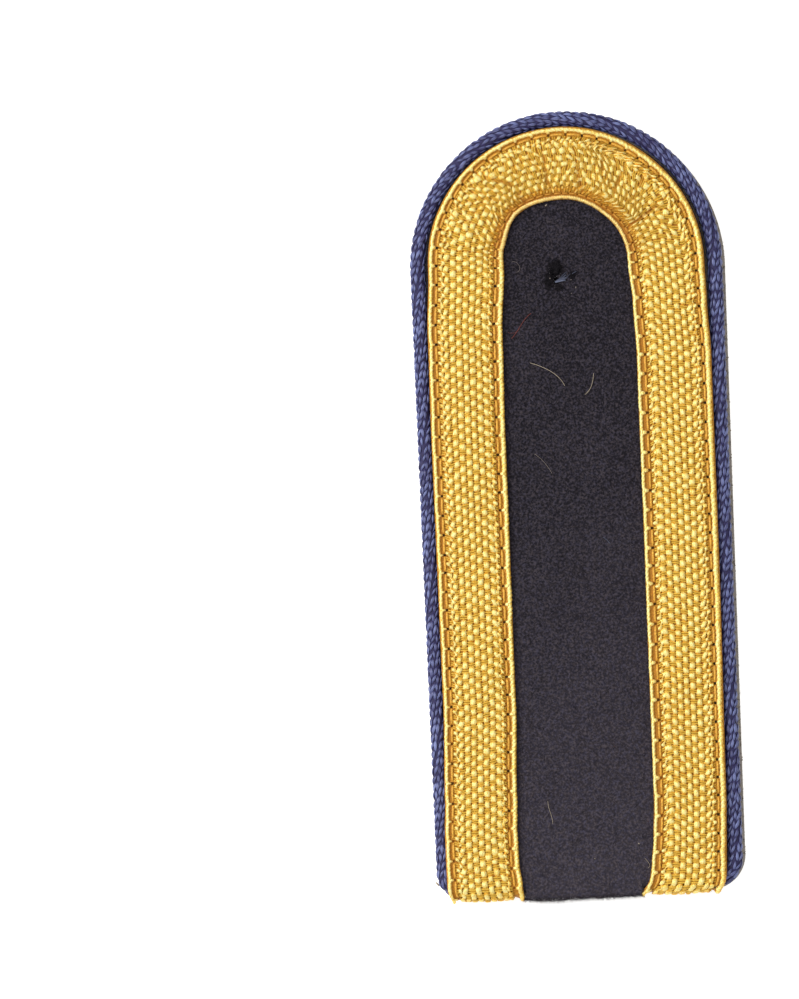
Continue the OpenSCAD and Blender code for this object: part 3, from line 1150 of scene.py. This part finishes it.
def strung(unit, places, stretch, across, height, seed):
    """Copies of unit at each place along the lace, laid on the board."""
    count, size = len(places), len(unit.data.vertices)
    repeat(unit, count, (0, 0, 0))
    rng = np.random.default_rng(seed)
    across = across + rng.normal(0, 0.02 * MM, count)
    height = height + rng.normal(0, 0.015 * MM, count)
    points = points_of(unit)
    points[:, 0] *= np.repeat(stretch, size)
    points += np.repeat(np.column_stack([places, across, height]), size, axis=0)
    settle(unit, *points.T)
    return unit


class BOARD_OT_lace_stitching(bpy.types.Operator):
    """Sew the lace down with thread, and bridge its channels with rungs at the holes"""

    bl_idname = "board.lace_stitching"
    bl_label = "Lace: sewing thread and rungs"

    DRAPE = [
        # share of the stitch's span, height in millimetres, width and thickness as shares
        (-0.5, -0.3, 0.5, 0.5),
        (-0.45, -0.08, 0.8, 0.6),
        (-0.32, 0.04, 1.0, 0.8),
        (0, 0.08, 1.0, 0.9),
        (0.32, 0.04, 1.0, 0.8),
        (0.45, -0.08, 0.8, 0.6),
        (0.5, -0.3, 0.5, 0.5),
    ]
    BRIDGE = [
        # reach from the hole and height in millimetres, half width and half thickness
        (0.02, -0.04, 0.12, 0.1),
        (0.1, 0.06, 0.2, 0.14),
        (0.25, 0.12, 0.27, 0.17),
        (0.42, 0.18, 0.33, 0.18),
        (0.6, 0.2, 0.36, 0.15),
    ]

    def execute(self, context):
        lace = context.scene.board.lace
        thread = joined("tress_thread", [self.thread(lace, side) for side in (-1, 1)])
        rung = joined("tress_rungs", [self.rungs(lace, side) for side in (-1, 1)])
        mark_tone(rung, np.full(len(rung.data.vertices), 0.82))
        face_outwards(thread)
        face_outwards(rung)
        dress(thread, silk_finish(lace, "sewing_thread", lace.thread))
        dress(rung, tinsel_finish(lace, "gold_rung"))
        return {"FINISHED"}

    def thread(self, lace, side):
        """The sewing thread of one channel, a stitch from each hole to the next."""
        half, span = lace.thread_w / 2, lace.stitch - lace.hole_w
        rings = [
            (at * span, side * 0.05 * MM * math.cos(math.pi * at), up * MM, half * wide, half * high)
            for at, up, wide, high in self.DRAPE
        ]
        unit = ring_tube("thread", 8, rings, closed=True)
        holes = hole_places(lace, side)
        middles, stretch = (holes[:-1] + holes[1:]) / 2, np.diff(holes) / lace.stitch
        return strung(unit, middles, stretch, thread_line(side), CHANNEL_H + 0.02 * MM, 51 + side)

    def rungs(self, lace, side):
        """The rungs of one channel. The inner one shows none on the rounded end."""
        rings = [(at * MM, 0, up * MM, wide * MM, high * MM) for at, up, wide, high in self.BRIDGE]
        unit = ring_tube("rung", 7, rings, closed=True)
        along, across, up = points_of(unit).T
        out = side * (along + 0.45 * lace.hole_w)
        place_points(unit, np.column_stack([-side * across, out, up]))
        holes = hole_places(lace, side)
        if side < 0:
            share = round_share(holes)
            holes = holes[(share <= 0.12) | (share >= 0.9)]
        wide = np.where((side > 0) & (holes < ARM_L), 0.65, 1.0)
        return strung(unit, holes, wide, thread_line(side), CHANNEL_H, 61 + side)


def strip(name, section, places):
    """A closed strip of the given section (across, height) with a ring at each place along it."""
    piece = ring_tube(name, len(section), [(at, 0, 0, 1, 1) for at in places])
    points = points_of(piece)
    points[:, 1:] = np.tile(np.array(section) * MM, (len(places), 1))
    place_points(piece, points)
    return piece


class BOARD_OT_lace_ground(bpy.types.Operator):
    """Lay the lace's amber ground, its channels pierced by the stitch holes"""

    bl_idname = "board.lace_ground"
    bl_label = "Lace: ground"

    # Section of the ground under the woven band, and of a channel about its thread, in
    # millimetres: the channel's cord lies on its left
    BAND = [
        (1.5, 0.0), (1.5, 0.36), (1.9, 0.4), (2.9, 0.5), (4.2, 0.58), (5.5, 0.61), (6.9, 0.58),
        (8.2, 0.5), (9.2, 0.4), (9.6, 0.36), (9.6, 0.0),
    ]
    CHANNEL = [
        (-1.12, 0.0), (-1.25, 0.2), (-1.1, 0.43), (-0.6, 0.42), (-0.24, 0.40), (0.24, 0.40),
        (0.45, 0.40), (0.45, 0.0),
    ]
    BAND_STEP = 1.6 * MM

    # How far the stitch holes have closed, which fades the painted shade in their pits, by side: on the
    # left arm, the rounded end, the right arm
    CLOSED = {-1: (0.22, 0.7, 0.4), 1: (0.22, 0.42, 0)}

    def execute(self, context):
        lace = context.scene.board.lace
        pieces = [self.band(), self.channel(lace, -1), self.channel(lace, 1)]
        ground = joined("tress_ground", pieces)
        with editing(ground):
            bpy.ops.mesh.remove_doubles(threshold=0.001 * MM)
        close_ends(ground)
        dress(ground, silk_finish(lace, "lace_ground", lace.ground, ribs=7.0))
        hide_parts("tress")
        return {"FINISHED"}

    def band(self):
        """The strip under the woven band."""
        band = along_lace(strip("band", self.BAND, (0, self.BAND_STEP)), self.BAND_STEP)
        along, across, height = points_of(band).T
        mark(band, "across", across)
        settle(band, LACE_START + along, across, height)
        return band

    def channel(self, lace, side):
        """The strip of the inner (-1) or outer (1) channel, with its stitch holes."""
        half = lace.hole_w / 2
        places = [-half, half] + list(np.linspace(half, lace.stitch - half, 4)[1:])
        unit = strip("channel", self.CHANNEL, places)
        for face in unit.data.polygons:
            middle = face.center
            face.select = abs(middle.x) < half and abs(middle.y) < 0.1 * MM and middle.z > 0.3 * MM
        only(unit)
        bpy.ops.object.mode_set(mode="EDIT")
        bpy.ops.mesh.select_mode(type="FACE")
        bpy.ops.mesh.inset(thickness=0.03 * MM)
        bpy.ops.mesh.extrude_region_move(TRANSFORM_OT_translate={"value": (0, 0, -0.3 * MM)})
        bpy.ops.transform.resize(value=(0.85, 0.85, 1), center_override=(0, 0, 0))
        bpy.ops.mesh.select_mode(type="VERT")
        bpy.ops.object.mode_set(mode="OBJECT")
        holes = hole_places(lace, side)
        repeat(unit, len(holes) + 2, (lace.stitch, 0, 0), weld=True)
        along, across, height = points_of(unit).T
        knots = np.concatenate([[holes[0] - lace.stitch], holes, [holes[-1] + lace.stitch]])
        run = np.interp(along, np.arange(len(knots)) * lace.stitch, knots)
        run += np.clip(along - (len(knots) - 1) * lace.stitch, 0, None)
        to_hole = np.abs((along + lace.stitch / 2) % lace.stitch - lace.stitch / 2)
        pit = (to_hole < half - 0.01 * MM) & (np.abs(across) < 0.23 * MM) & (height > 0.05 * MM)
        # The painted shade in each pit, less where the hole has closed
        mark(unit, "pit", pit * (1 - self.closed(lace, side, run)))
        across = thread_line(side) - side * across
        mark(unit, "across", across)
        settle(unit, run, across, height)
        return unit

    def closed(self, lace, side, run):
        """How far a stitch hole at each place has closed, fading the painted shade in its pit. Most have
        near the straight end.
        """
        turn = round_share(run)
        left, bent, right = self.CLOSED[side]
        closed = left * (turn == 0) + bent * rounded(run) + right * (turn == 1)
        low = np.clip(1.1 - np.minimum(run, FLAT_L - run) / (0.24 * ARM_L), 0, 1)
        closed += 0.6 * low * ((turn < 1) | (side < 0))
        return np.clip(closed + 0.16 * Wander(45 + side, 1, lace.stitch)(0, run), 0, 0.8)


# The edge cord

class BOARD_OT_piping(bpy.types.Operator):
    """Knit the blue cord round the board's edge"""

    bl_idname = "board.piping"
    bl_label = "Piping"

    # How far the columns of stitches wind round the cord for each step along it
    TWIST = -0.2

    CORE_SIDES = 16
    CORE_STEP = 1.2 * MM

    STITCH = [
        # share of the stitch's length, height, half width, half height as shares
        (-0.6, -0.6, 0.3, 0.4),
        (-0.4, 0.4, 0.85, 0.8),
        (-0.16, 1, 1.15, 1),
        (0.1, 1, 1, 1),
        (0.36, 0.4, 0.65, 0.8),
        (0.6, -0.5, 0.25, 0.4),
    ]

    # The columns that are knitted, counted from the top: the felt hides the others
    SHOWN = np.arange(-4, 4)

    def execute(self, context):
        sizes = context.scene.board.piping
        lay = PipingLay(NOSE_R - sizes.stitch_h)
        core = self.core(lay)
        dress(core, core_finish(sizes))
        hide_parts("piping")
        dress(self.stitches(sizes, lay), rayon_finish(sizes))
        return {"FINISHED"}

    def core(self, lay):
        """The core that the stitches cover."""
        steps = int(lay.length / self.CORE_STEP)
        rings = [(lay.length * i / steps, 0, 0, 1, 1) for i in range(steps + 1)]
        core = ring_tube("piping_core", self.CORE_SIDES, rings)
        along, across, up = points_of(core).T
        around = np.arctan2(across, up) / (2 * math.pi) * lay.girth
        place_points(core, lay(np.column_stack([along, around, np.zeros(len(along))])))
        close_ends(core)
        return core

    def stitches(self, sizes, lay):
        """Slanted stitches in columns round the cord, each a strand that dips at both ends."""
        span, wide, high = sizes.stitch, sizes.stitch_w / 2, sizes.stitch_h / 2
        rings = [(at * span, 0, up * high, w * wide, h * high) for at, up, w, h in self.STITCH]
        unit = ring_tube("piping_stitches", 8, rings, closed=True)
        rows, columns, size = int(lay.length / span), len(self.SHOWN), len(unit.data.vertices)
        repeat(unit, rows * columns, (0, 0, 0))
        along, around, up = np.moveaxis(points_of(unit).reshape(rows, columns, size, 3), 3, 0)
        rng = np.random.default_rng(71)
        lean = np.where(np.arange(columns) % 2, 1, -1)[None, :, None]
        slant = np.tan(np.radians(10 * lean + 4 * rng.normal(size=(rows, columns, 1))))
        grown, shift, turned, raised = np.moveaxis(rng.normal(size=(rows, columns, 4)), 2, 0)[..., None]
        groove = np.exp(-((around / (0.28 * wide)) ** 2)) * np.clip(up / high, 0, None)

        row_at = ((np.arange(rows) + 0.5) * lay.length / rows)[:, None, None]
        stagger = (self.SHOWN // 2 * -0.16 % 1 * span)[None, :, None]
        gap = lay.girth / sizes.wales
        reach = columns * gap
        column_at = (self.SHOWN[None, :, None] * gap + self.TWIST * row_at + reach / 2) % reach - reach / 2
        flat = np.stack([
            np.clip(row_at + stagger + along * (1 + 0.08 * grown) + 0.08 * span * shift, 0, lay.length),
            column_at + around * (1 + 0.12 * grown) + (slant + self.TWIST) * along + 0.03 * MM * turned,
            np.minimum(up * (1 + 0.06 * raised), 2 * high) - 0.3 * high * groove,
        ], axis=-1)
        placed = lay(flat.reshape(-1, 3))
        place_points(unit, placed)

        # Painted light and shade: each stitch lit along its top, shaded at its ends and in its middle
        # groove; a little darker towards the top of the rounded end, and more on its right, the side away
        # from the light
        tone = 0.26 + 0.32 * up / high - 0.25 * along / span - (along / span) ** 2
        tone += 0.2 * turned - 0.25 * groove
        far = np.clip((placed[:, 1] - ROUND_Y) / HALF_W, 0, 1)
        right = np.clip(placed[:, 0] / HALF_W, 0, 1) * np.clip(far / 0.3, 0, 1)
        mark_tone(unit, tone.ravel() - 0.04 * far - 0.07 * right)
        face_outwards(unit)
        return unit


# Cloth, felt and loose bits

def fibres(name, count, span, width, place, seed):
    """Loose fibres, one modelled and the rest copied. place gives each fibre's middle, heading,
    rise, curl and share of the span from random numbers."""
    half = width / 2
    rings = [(at * span, 0, 0, half * wide, half * wide) for at, wide in ((-0.5, 0.4), (0, 1), (0.5, 0.4))]
    unit = ring_tube(name, 3, rings, closed=True)
    size = len(unit.data.vertices)
    repeat(unit, count, (0, 0, 0))
    points = points_of(unit).reshape(count, size, 3)
    rng = np.random.default_rng(seed)
    middle, heading, rise, curl, scale = place(rng, count)
    along = points[..., 0] * scale[:, None]
    bow = (along / span) ** 2 * span
    side = points[..., 1] + curl[:, None] * bow
    up = points[..., 2] - 0.6 * np.abs(rise)[:, None] * bow
    run_x, run_y = np.cos(heading)[:, None], np.sin(heading)[:, None]
    x = middle[:, 0:1] + run_x * along - run_y * side
    y = middle[:, 1:2] + run_y * along + run_x * side
    z = middle[:, 2:3] + up + along * np.clip(rise, -0.2, 0.2)[:, None]
    place_points(unit, np.stack([x, y, z], axis=-1).reshape(-1, 3))
    tone = rng.normal(0.35, 0.4, count) - 3.5 * middle[:, 1]
    mark_tone(unit, np.repeat(tone, size))
    return unit


def any_way(rng, count):
    """A heading for each fibre."""
    return rng.uniform(0, 2 * math.pi, count)


def strewn(rng, middle, heading, rise, curl, least, most):
    """Fibres with these middles and headings, and a random rise, curl and share of their span."""
    count = len(middle)
    bends = rng.normal(0, rise, count), rng.normal(0, curl, count)
    return middle, heading, *bends, rng.uniform(least, most, count)


# The middle and radius of the button hole, and the worn spots about it: middle (x, y) and spread
# (x, y) in millimetres, and each one's share of the worn wool
HOLE = (MIDDLE_X - 1.2 * MM, 34.35 * MM)
HOLE_R = 1.5 * MM
WORN = np.array([
    (-1.6, 35.7, 0.42, 0.46), (-2.65, 33.6, 0.32, 0.58), (-1.2, 32.5, 0.25, 0.2), (0.8, 34.4, 0.25, 0.2),
])
WORN_SHARES = (0.42, 0.36, 0.12, 0.1)

# How far the wool stands past the fold, in millimetres: place across the board, reach
FRINGE = np.array([
    [-10.1, 0.08], [-9, 0.0], [-8, -0.12], [-6.5, -0.28], [-5.4, -0.34], [-4.6, -0.36], [-3.9, -0.2],
    [-2.5, -0.16], [-1.2, -0.1], [-0.4, 0.0], [1, -0.06], [3, 0.0], [4.5, -0.04], [6, 0.06], [7.9, 0.25],
])


class BOARD_OT_cloth(bpy.types.Operator):
    """Finish the wool cloth, raise its nap and fray its button hole"""

    bl_idname = "board.cloth"
    bl_label = "Wool cloth"

    def execute(self, context):
        sizes = context.scene.board.cloth
        cloth = cover("base_cloth", wool_finish(sizes))
        fibre = fibre_finish("wool_fibre", sizes.wool, sizes.fibre)
        dark = fibre_finish("pit_fibre", toned(sizes.wool, 0.45), toned(sizes.fibre, 0.26))
        for name, count, span, width, place, seed, finish in (
            ("wool_nap", sizes.nap, sizes.nap_l, sizes.nap_w, self.on_face, 81, fibre),
            # hole_fray takes the darker wool as painted shade for the fibres down in the button hole
            ("hole_fray", 900, 1.1 * MM, 0.09 * MM, self.in_hole, 82, dark),
            ("hole_rim", 900, 0.9 * MM, 0.07 * MM, self.on_rim, 83, fibre),
            ("hole_wear", 1000, 0.8 * MM, 0.08 * MM, self.on_wear, 84, dark),
        ):
            dress(fibres(name, count, span, width, place, seed), finish)
        return {"FINISHED"}

    def on_face(self, rng, count):
        """Places for the nap: over the face and the fold at its straight end."""
        reach = INNER_EVEN + 1.2 * MM
        x = rng.uniform(-reach, reach, count)
        top = ROUND_Y + np.sqrt(reach ** 2 - x ** 2)
        y = END_Y + rng.random(count) * (top - END_Y)
        end = CLOTH_LOW.y
        fringe = count // 6
        left, right = FRINGE[0, 0] * MM, FRINGE[-1, 0] * MM
        x[:fringe] = rng.uniform(left, right, fringe)
        ragged = np.interp(x[:fringe] / MM, FRINGE[:, 0], FRINGE[:, 1])
        y[:fringe] = end + (ragged - 0.1 + (0.25 - ragged) * rng.random(fringe)) * MM
        x = np.where(y < end + 1.5 * MM, np.clip(x, left, right), x)
        fold = np.clip((end + NOSE_R - y) / NOSE_R, 0, 1)
        z = CLOTH_HIGH.z - NOSE_R * (1 - np.sqrt(1 - fold ** 2)) + rng.uniform(-0.02, 0.06, count) * MM
        middle = np.column_stack([x + MIDDLE_X, y, z])
        # No fibre bridges the button hole: those that would lie further down
        bridging = np.hypot(middle[:, 0] - HOLE[0], middle[:, 1] - HOLE[1]) <= 0.9 * HOLE_R
        middle[bridging, 1] -= 9 * MM
        return strewn(rng, middle, any_way(rng, count), 0.08, 0.8, 0.3, 1.4)

    def on_rim(self, rng, count):
        """Places for the wool that stands into the button hole from its rim, most at its sides."""
        turn = rng.normal(-0.25, 1.0, count)
        turn[: count // 4] = rng.uniform(0, 2 * math.pi, count // 4)
        inwards = np.clip(np.cos(turn + 0.25), 0.12, 1)
        far = HOLE_R * (1.1 - 1.15 * rng.random(count) ** 1.4 * inwards)
        z = CLOTH_HIGH.z - rng.uniform(0.02, 0.35, count) * MM
        heading = turn + rng.normal(0, 0.9, count)
        return strewn(rng, self.about_hole(far, turn, z), heading, 0.15, 0.9, 0.4, 1.2)

    def on_wear(self, rng, count):
        """Places for the dark matted wool in the worn spots about the button hole."""
        spot = WORN[rng.choice(len(WORN), count, p=WORN_SHARES)] * MM
        place = spot[:, :2] + rng.normal(size=(count, 2)) * spot[:, 2:]
        z = CLOTH_HIGH.z + rng.uniform(0.0, 0.07, count) * MM
        middle = np.column_stack([place + [MIDDLE_X, 0], z])
        return strewn(rng, middle, any_way(rng, count), 0.05, 0.9, 0.4, 1.0)

    def in_hole(self, rng, count):
        """Places for the frayed wool that fills the button hole."""
        turn = any_way(rng, count)
        far = HOLE_R * np.sqrt(rng.random(count)) * 1.02
        z = FELT_HIGH.z + (0.15 + 1.55 * (far / HOLE_R) ** 2 * rng.random(count)) * MM
        return strewn(rng, self.about_hole(far, turn, z), any_way(rng, count), 0.1, 0.9, 0.5, 1.2)

    def about_hole(self, far, turn, z):
        """Points by their distance and direction from the middle of the button hole."""
        return np.column_stack([HOLE[0] + far * np.cos(turn), HOLE[1] + far * np.sin(turn), z])


class BOARD_OT_felt(bpy.types.Operator):
    """Finish the felt backing and rough up its cut edge"""

    bl_idname = "board.felt"
    bl_label = "Felt backing"

    def execute(self, context):
        sizes = context.scene.board.felt
        felt = cover("backing", felt_finish(sizes))
        fuzz = fibre_finish("felt_fibre", sizes.fleck, sizes.felt)
        dress(self.knobs(sizes, 420, 91), fuzz)
        dress(fibres("felt_hair", 900, 0.6 * MM, 0.04 * MM, self.at_edge, 92), fuzz)
        return {"FINISHED"}

    def at_edge(self, rng, count):
        """Places along the felt's right side, where its outermost point in each small step lies."""
        points = points_of(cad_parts["backing"])
        right = points[points[:, 0] > MIDDLE_X + 0.6 * HALF_W]
        row = np.rint(right[:, 1] / (0.01 * MM))
        order = np.lexsort((-right[:, 0], row))
        right = right[order[np.unique(row[order], return_index=True)[1]]]
        y = rng.uniform(END_Y + 5 * MM, ROUND_Y + 3 * MM, count)
        x = np.interp(y, right[:, 1], right[:, 0]) + rng.normal(-0.14, 0.05, count) * MM
        z = rng.uniform(0.15 * MM, FELT_HIGH.z + 0.02 * MM, count)
        heading = rng.normal(math.pi / 2, 0.7, count)
        return strewn(rng, np.column_stack([x, y, z]), heading, 0.1, 0.9, 0.4, 1.3)

    def knobs(self, sizes, count, seed):
        """Knobs of felt along its cut edge, one modelled and the rest copied and varied."""
        bpy.ops.object.select_all(action="DESELECT")
        bpy.ops.mesh.primitive_ico_sphere_add(subdivisions=1, radius=sizes.knob / 2)
        knob = bpy.context.object
        knob.name = "felt_knobs"
        size = len(knob.data.vertices)
        repeat(knob, count, (0, 0, 0))
        rng = np.random.default_rng(seed)
        middle = self.at_edge(rng, count)[0]
        grown = rng.uniform(0.5, 1.3, (count, 1, 3))
        points = points_of(knob).reshape(count, size, 3) * grown * rng.uniform(0.8, 1.2, (count, size, 1))
        place_points(knob, (points + middle[:, None, :]).reshape(-1, 3))
        mark_tone(knob, np.repeat(rng.uniform(0.3, 1.0, count), size))
        return knob


# Loose bits. The three tables have the same columns.
HAIRS = [
    # run (x, y), height over the cloth and width in millimetres, tone
    [[(-6.54, 21.56), (-4.76, 20.89), (-2.56, 19.61), (-0.99, 17.44)], 0.12, 0.07, 1.0],
    [[(3.3, 19.68), (3.1, 18.48), (2.6, 17.15), (1.66, 16.29)], 0.12, 0.07, 1.0],
    [[(-6.32, 7.9), (-5.3, 7.1), (-4.16, 5.71), (-3.46, 4.48)], 0.1, 0.06, 0.35],
    [[(-6.12, -44.2), (-6.02, -45.41), (-5.63, -46.92), (-5.53, -48.13)], 0.1, 0.07, 0.7],
    [[(8.07, -53.47), (8.5, -54.09), (8.78, -54.7), (8.31, -55.13)], 0.1, 0.07, 0.6],
    [[(-23.4, -56.05), (-23.2, -56.3), (-22.9, -56.6)], -1.0, 0.3, 1.0],
    [[(-8.7, 36.5), (-7.6, 36.5), (-7.2, 35.6), (-8.1, 35.1)], 0.1, 0.06, 0.2],
    [[(-3.05, 44.9), (-2.9, 45.0), (-2.75, 45.12)], 0.08, 0.14, 1.0],
    [[(-2.76, 33.9), (-2.72, 34.0), (-2.7, 34.12)], 0.08, 0.16, 0.25],
    [[(0.4, 33.6), (0.44, 33.67), (0.5, 33.7)], 0.08, 0.16, 0.25],
    [[(1.08, 32.4), (1.1, 32.5), (1.1, 32.65)], 0.08, 0.18, 0.3],
    [[(0.36, 31.55), (0.4, 31.6), (0.48, 31.66)], 0.08, 0.16, 0.2],
    [[(7.15, -51.3), (7.26, -51.33), (7.4, -51.42)], 0.08, 0.16, 0.7],
    [[(0.5, -53.25), (0.57, -53.32), (0.7, -53.4)], 0.08, 0.12, 0.5],
]
RED_HAIRS = [
    [[(-9.1, 24.97), (-7.85, 26.42), (-6.58, 28.17), (-5.49, 29.03)], 0.1, 0.08, 1.0],
    [[(-9.6, 26.3), (-8.6, 26.0), (-7.4, 26.9)], 0.08, 0.06, 0.6],
]
THREADS = [
    [[(-2.05, 33.42), (-1.4, 33.5), (-0.8, 33.62), (-0.3, 33.68)], 0.02, 0.24, 0.95],
    [[(-2.0, 33.48), (-1.35, 33.66), (-0.7, 33.9), (0.0, 34.0)], 0.0, 0.26, 0.6],
    [[(-1.8, 33.62), (-1.2, 33.85), (-0.6, 34.2), (-0.2, 34.55)], 0.0, 0.22, 0.42],
    [[(-1.5, 33.8), (-1.0, 34.2), (-0.5, 34.65), (0.1, 34.95)], -0.02, 0.16, 0.3],
    [[(-0.9, 33.7), (-0.3, 34.0), (0.05, 34.3), (0.6, 34.9)], 0.0, 0.18, 0.35],
    [[(0.55, 34.5), (0.9, 34.72), (1.35, 34.91)], 0.1, 0.12, 0.45],
    [[(3.67, -5.11), (4.25, -5.58), (4.82, -6.35)], 0.1, 0.07, 0.8],
]


class BOARD_OT_lint(bpy.types.Operator):
    """Drop the stray hairs and threads on the cloth"""

    bl_idname = "board.lint"
    bl_label = "Stray hairs and threads"

    def execute(self, context):
        cloth = context.scene.board.cloth
        for name, bits, finish, base, light in (
            ("stray_hairs", HAIRS, "pale_hair", cloth.fibre, (0.50, 0.42, 0.31)),
            ("red_hairs", RED_HAIRS, "red_hair", cloth.fibre, (0.20, 0.055, 0.045)),
            ("stray_threads", THREADS, "blue_thread", cloth.wool, (0.14, 0.155, 0.225)),
        ):
            piece = joined(name, [self.strand(*bit) for bit in bits])
            dress(piece, fibre_finish(finish, base, light))
        return {"FINISHED"}

    def strand(self, run, height, width, tone):
        """One strand through the points of its run, both ends tucked down."""
        path = np.array(run) * MM
        reach = np.concatenate([[0], np.cumsum(np.linalg.norm(np.diff(path, axis=0), axis=1))])
        half = width * MM / 2
        rings = [(at, 0, 0, half, half) for at in np.linspace(0, reach[-1], 15)]
        piece = ring_tube("strand", 5, rings, closed=True)
        along, side, up = points_of(piece).T
        at = np.clip(along, 0, reach[-1])
        curve = [np.polynomial.Polynomial.fit(reach, path[:, k], len(path) - 1) for k in (0, 1)]
        dx, dy = (c.deriv()(at) for c in curve)
        size = np.hypot(dx, dy)
        tuck = 0.25 * MM * (2 * at / reach[-1] - 1) ** 6
        place_points(piece, np.column_stack([
            curve[0](at) - side * dy / size,
            curve[1](at) + side * dx / size,
            CLOTH_HIGH.z + height * MM + up - tuck,
        ]))
        mark_tone(piece, np.full(len(at), tone))
        return piece


class BOARD_OT_stage(bpy.types.Operator):
    """Set up the pale floor, the soft light and the camera"""

    bl_idname = "board.stage"
    bl_label = "Floor, light and camera"

    # The middle of the frame on the board's plane, and how far the frame is turned
    AIM = (-26.61 * MM, 1.71 * MM)
    TURN = math.radians(-2.2546)

    def execute(self, context):
        stage = context.scene.board.stage
        bpy.ops.object.select_all(action="DESELECT")
        bpy.ops.mesh.primitive_plane_add(size=stage.floor, location=(0, 0, -LAY_GAP))
        floor = context.object
        floor.name = "floor"
        bpy.ops.object.transform_apply(location=True, rotation=True, scale=True)
        paper = Finish("pale_paper", Roughness=0.8)
        paper.colour(paper.mix(paper.noise(0.02), stage.paper, toned(stage.paper, 0.985)))
        paper.shader.inputs["Emission Color"].default_value = (1.0, 1.0, 0.99, 1.0)
        paper.shader.inputs["Emission Strength"].default_value = 0.58
        floor.data.materials.append(paper.material)

        world = bpy.data.worlds.new("soft_studio")
        context.scene.world = world
        world.use_nodes = True
        sky = world.node_tree.nodes["Background"]
        sky.inputs["Color"].default_value = (1.0, 0.995, 0.985, 1.0)
        sky.inputs["Strength"].default_value = 0.5

        for name, place, width, power in (
            ("key_light", (-0.85, 0.3, 0.85), 0.6, 13.0),
            ("fill_light", (0.5, -0.3, 1.1), 1.0, 2.0),
        ):
            bpy.ops.object.light_add(type="AREA", location=place)
            lamp = context.object
            lamp.name = name
            lamp.data.size = width
            lamp.data.energy = power
            aim = -lamp.location
            lamp.rotation_mode = "QUATERNION"
            lamp.rotation_quaternion = aim.to_track_quat("-Z", "Y")

        bpy.ops.object.camera_add(location=(*self.AIM, stage.height), rotation=(0, 0, self.TURN))
        camera = context.object
        camera.name = "view_camera"
        height = stage.height - LACE_HIGH.z
        camera.data.lens = camera.data.sensor_width * height / stage.view_l
        camera.data.clip_start = 0.01
        context.scene.camera = camera
        context.scene.view_settings.view_transform = "Standard"
        return {"FINISHED"}


OPERATORS = [
    BOARD_OT_stage,
    BOARD_OT_lace_warps,
    BOARD_OT_lace_wefts,
    BOARD_OT_lace_cords,
    BOARD_OT_lace_loops,
    BOARD_OT_lace_stitching,
    BOARD_OT_lace_ground,
    BOARD_OT_piping,
    BOARD_OT_cloth,
    BOARD_OT_felt,
    BOARD_OT_lint,
]


class BOARD_PT_panel(bpy.types.Panel):
    """Sizes of the board's pieces, and a button for each group of them"""

    bl_idname = "BOARD_PT_panel"
    bl_label = "Shoulder board"
    bl_space_type = "VIEW_3D"
    bl_region_type = "UI"
    bl_category = "Shoulder board"

    def draw(self, context):
        for group in ("lace", "piping", "cloth", "felt", "stage"):
            sizes = getattr(context.scene.board, group)
            box = self.layout.box()
            box.label(text=group.capitalize())
            for name in sizes.bl_rna.properties.keys():
                if name not in ("rna_type", "name"):
                    box.prop(sizes, name)
        for operator in OPERATORS:
            self.layout.operator(operator.bl_idname)


CLASSES = [
    LaceSizes, PipingSizes, ClothSizes, FeltSizes, StageSizes, BoardSettings, *OPERATORS, BOARD_PT_panel,
]


def register():
    for kind in CLASSES:
        bpy.utils.register_class(kind)
    bpy.types.Scene.board = PointerProperty(type=BoardSettings)


def unregister():
    del bpy.types.Scene.board
    for kind in reversed(CLASSES):
        bpy.utils.unregister_class(kind)


def main():
    register()
    for operator in OPERATORS:
        family, name = operator.bl_idname.split(".")
        getattr(getattr(bpy.ops, family), name)()


if __name__ == "__main__":
    main()
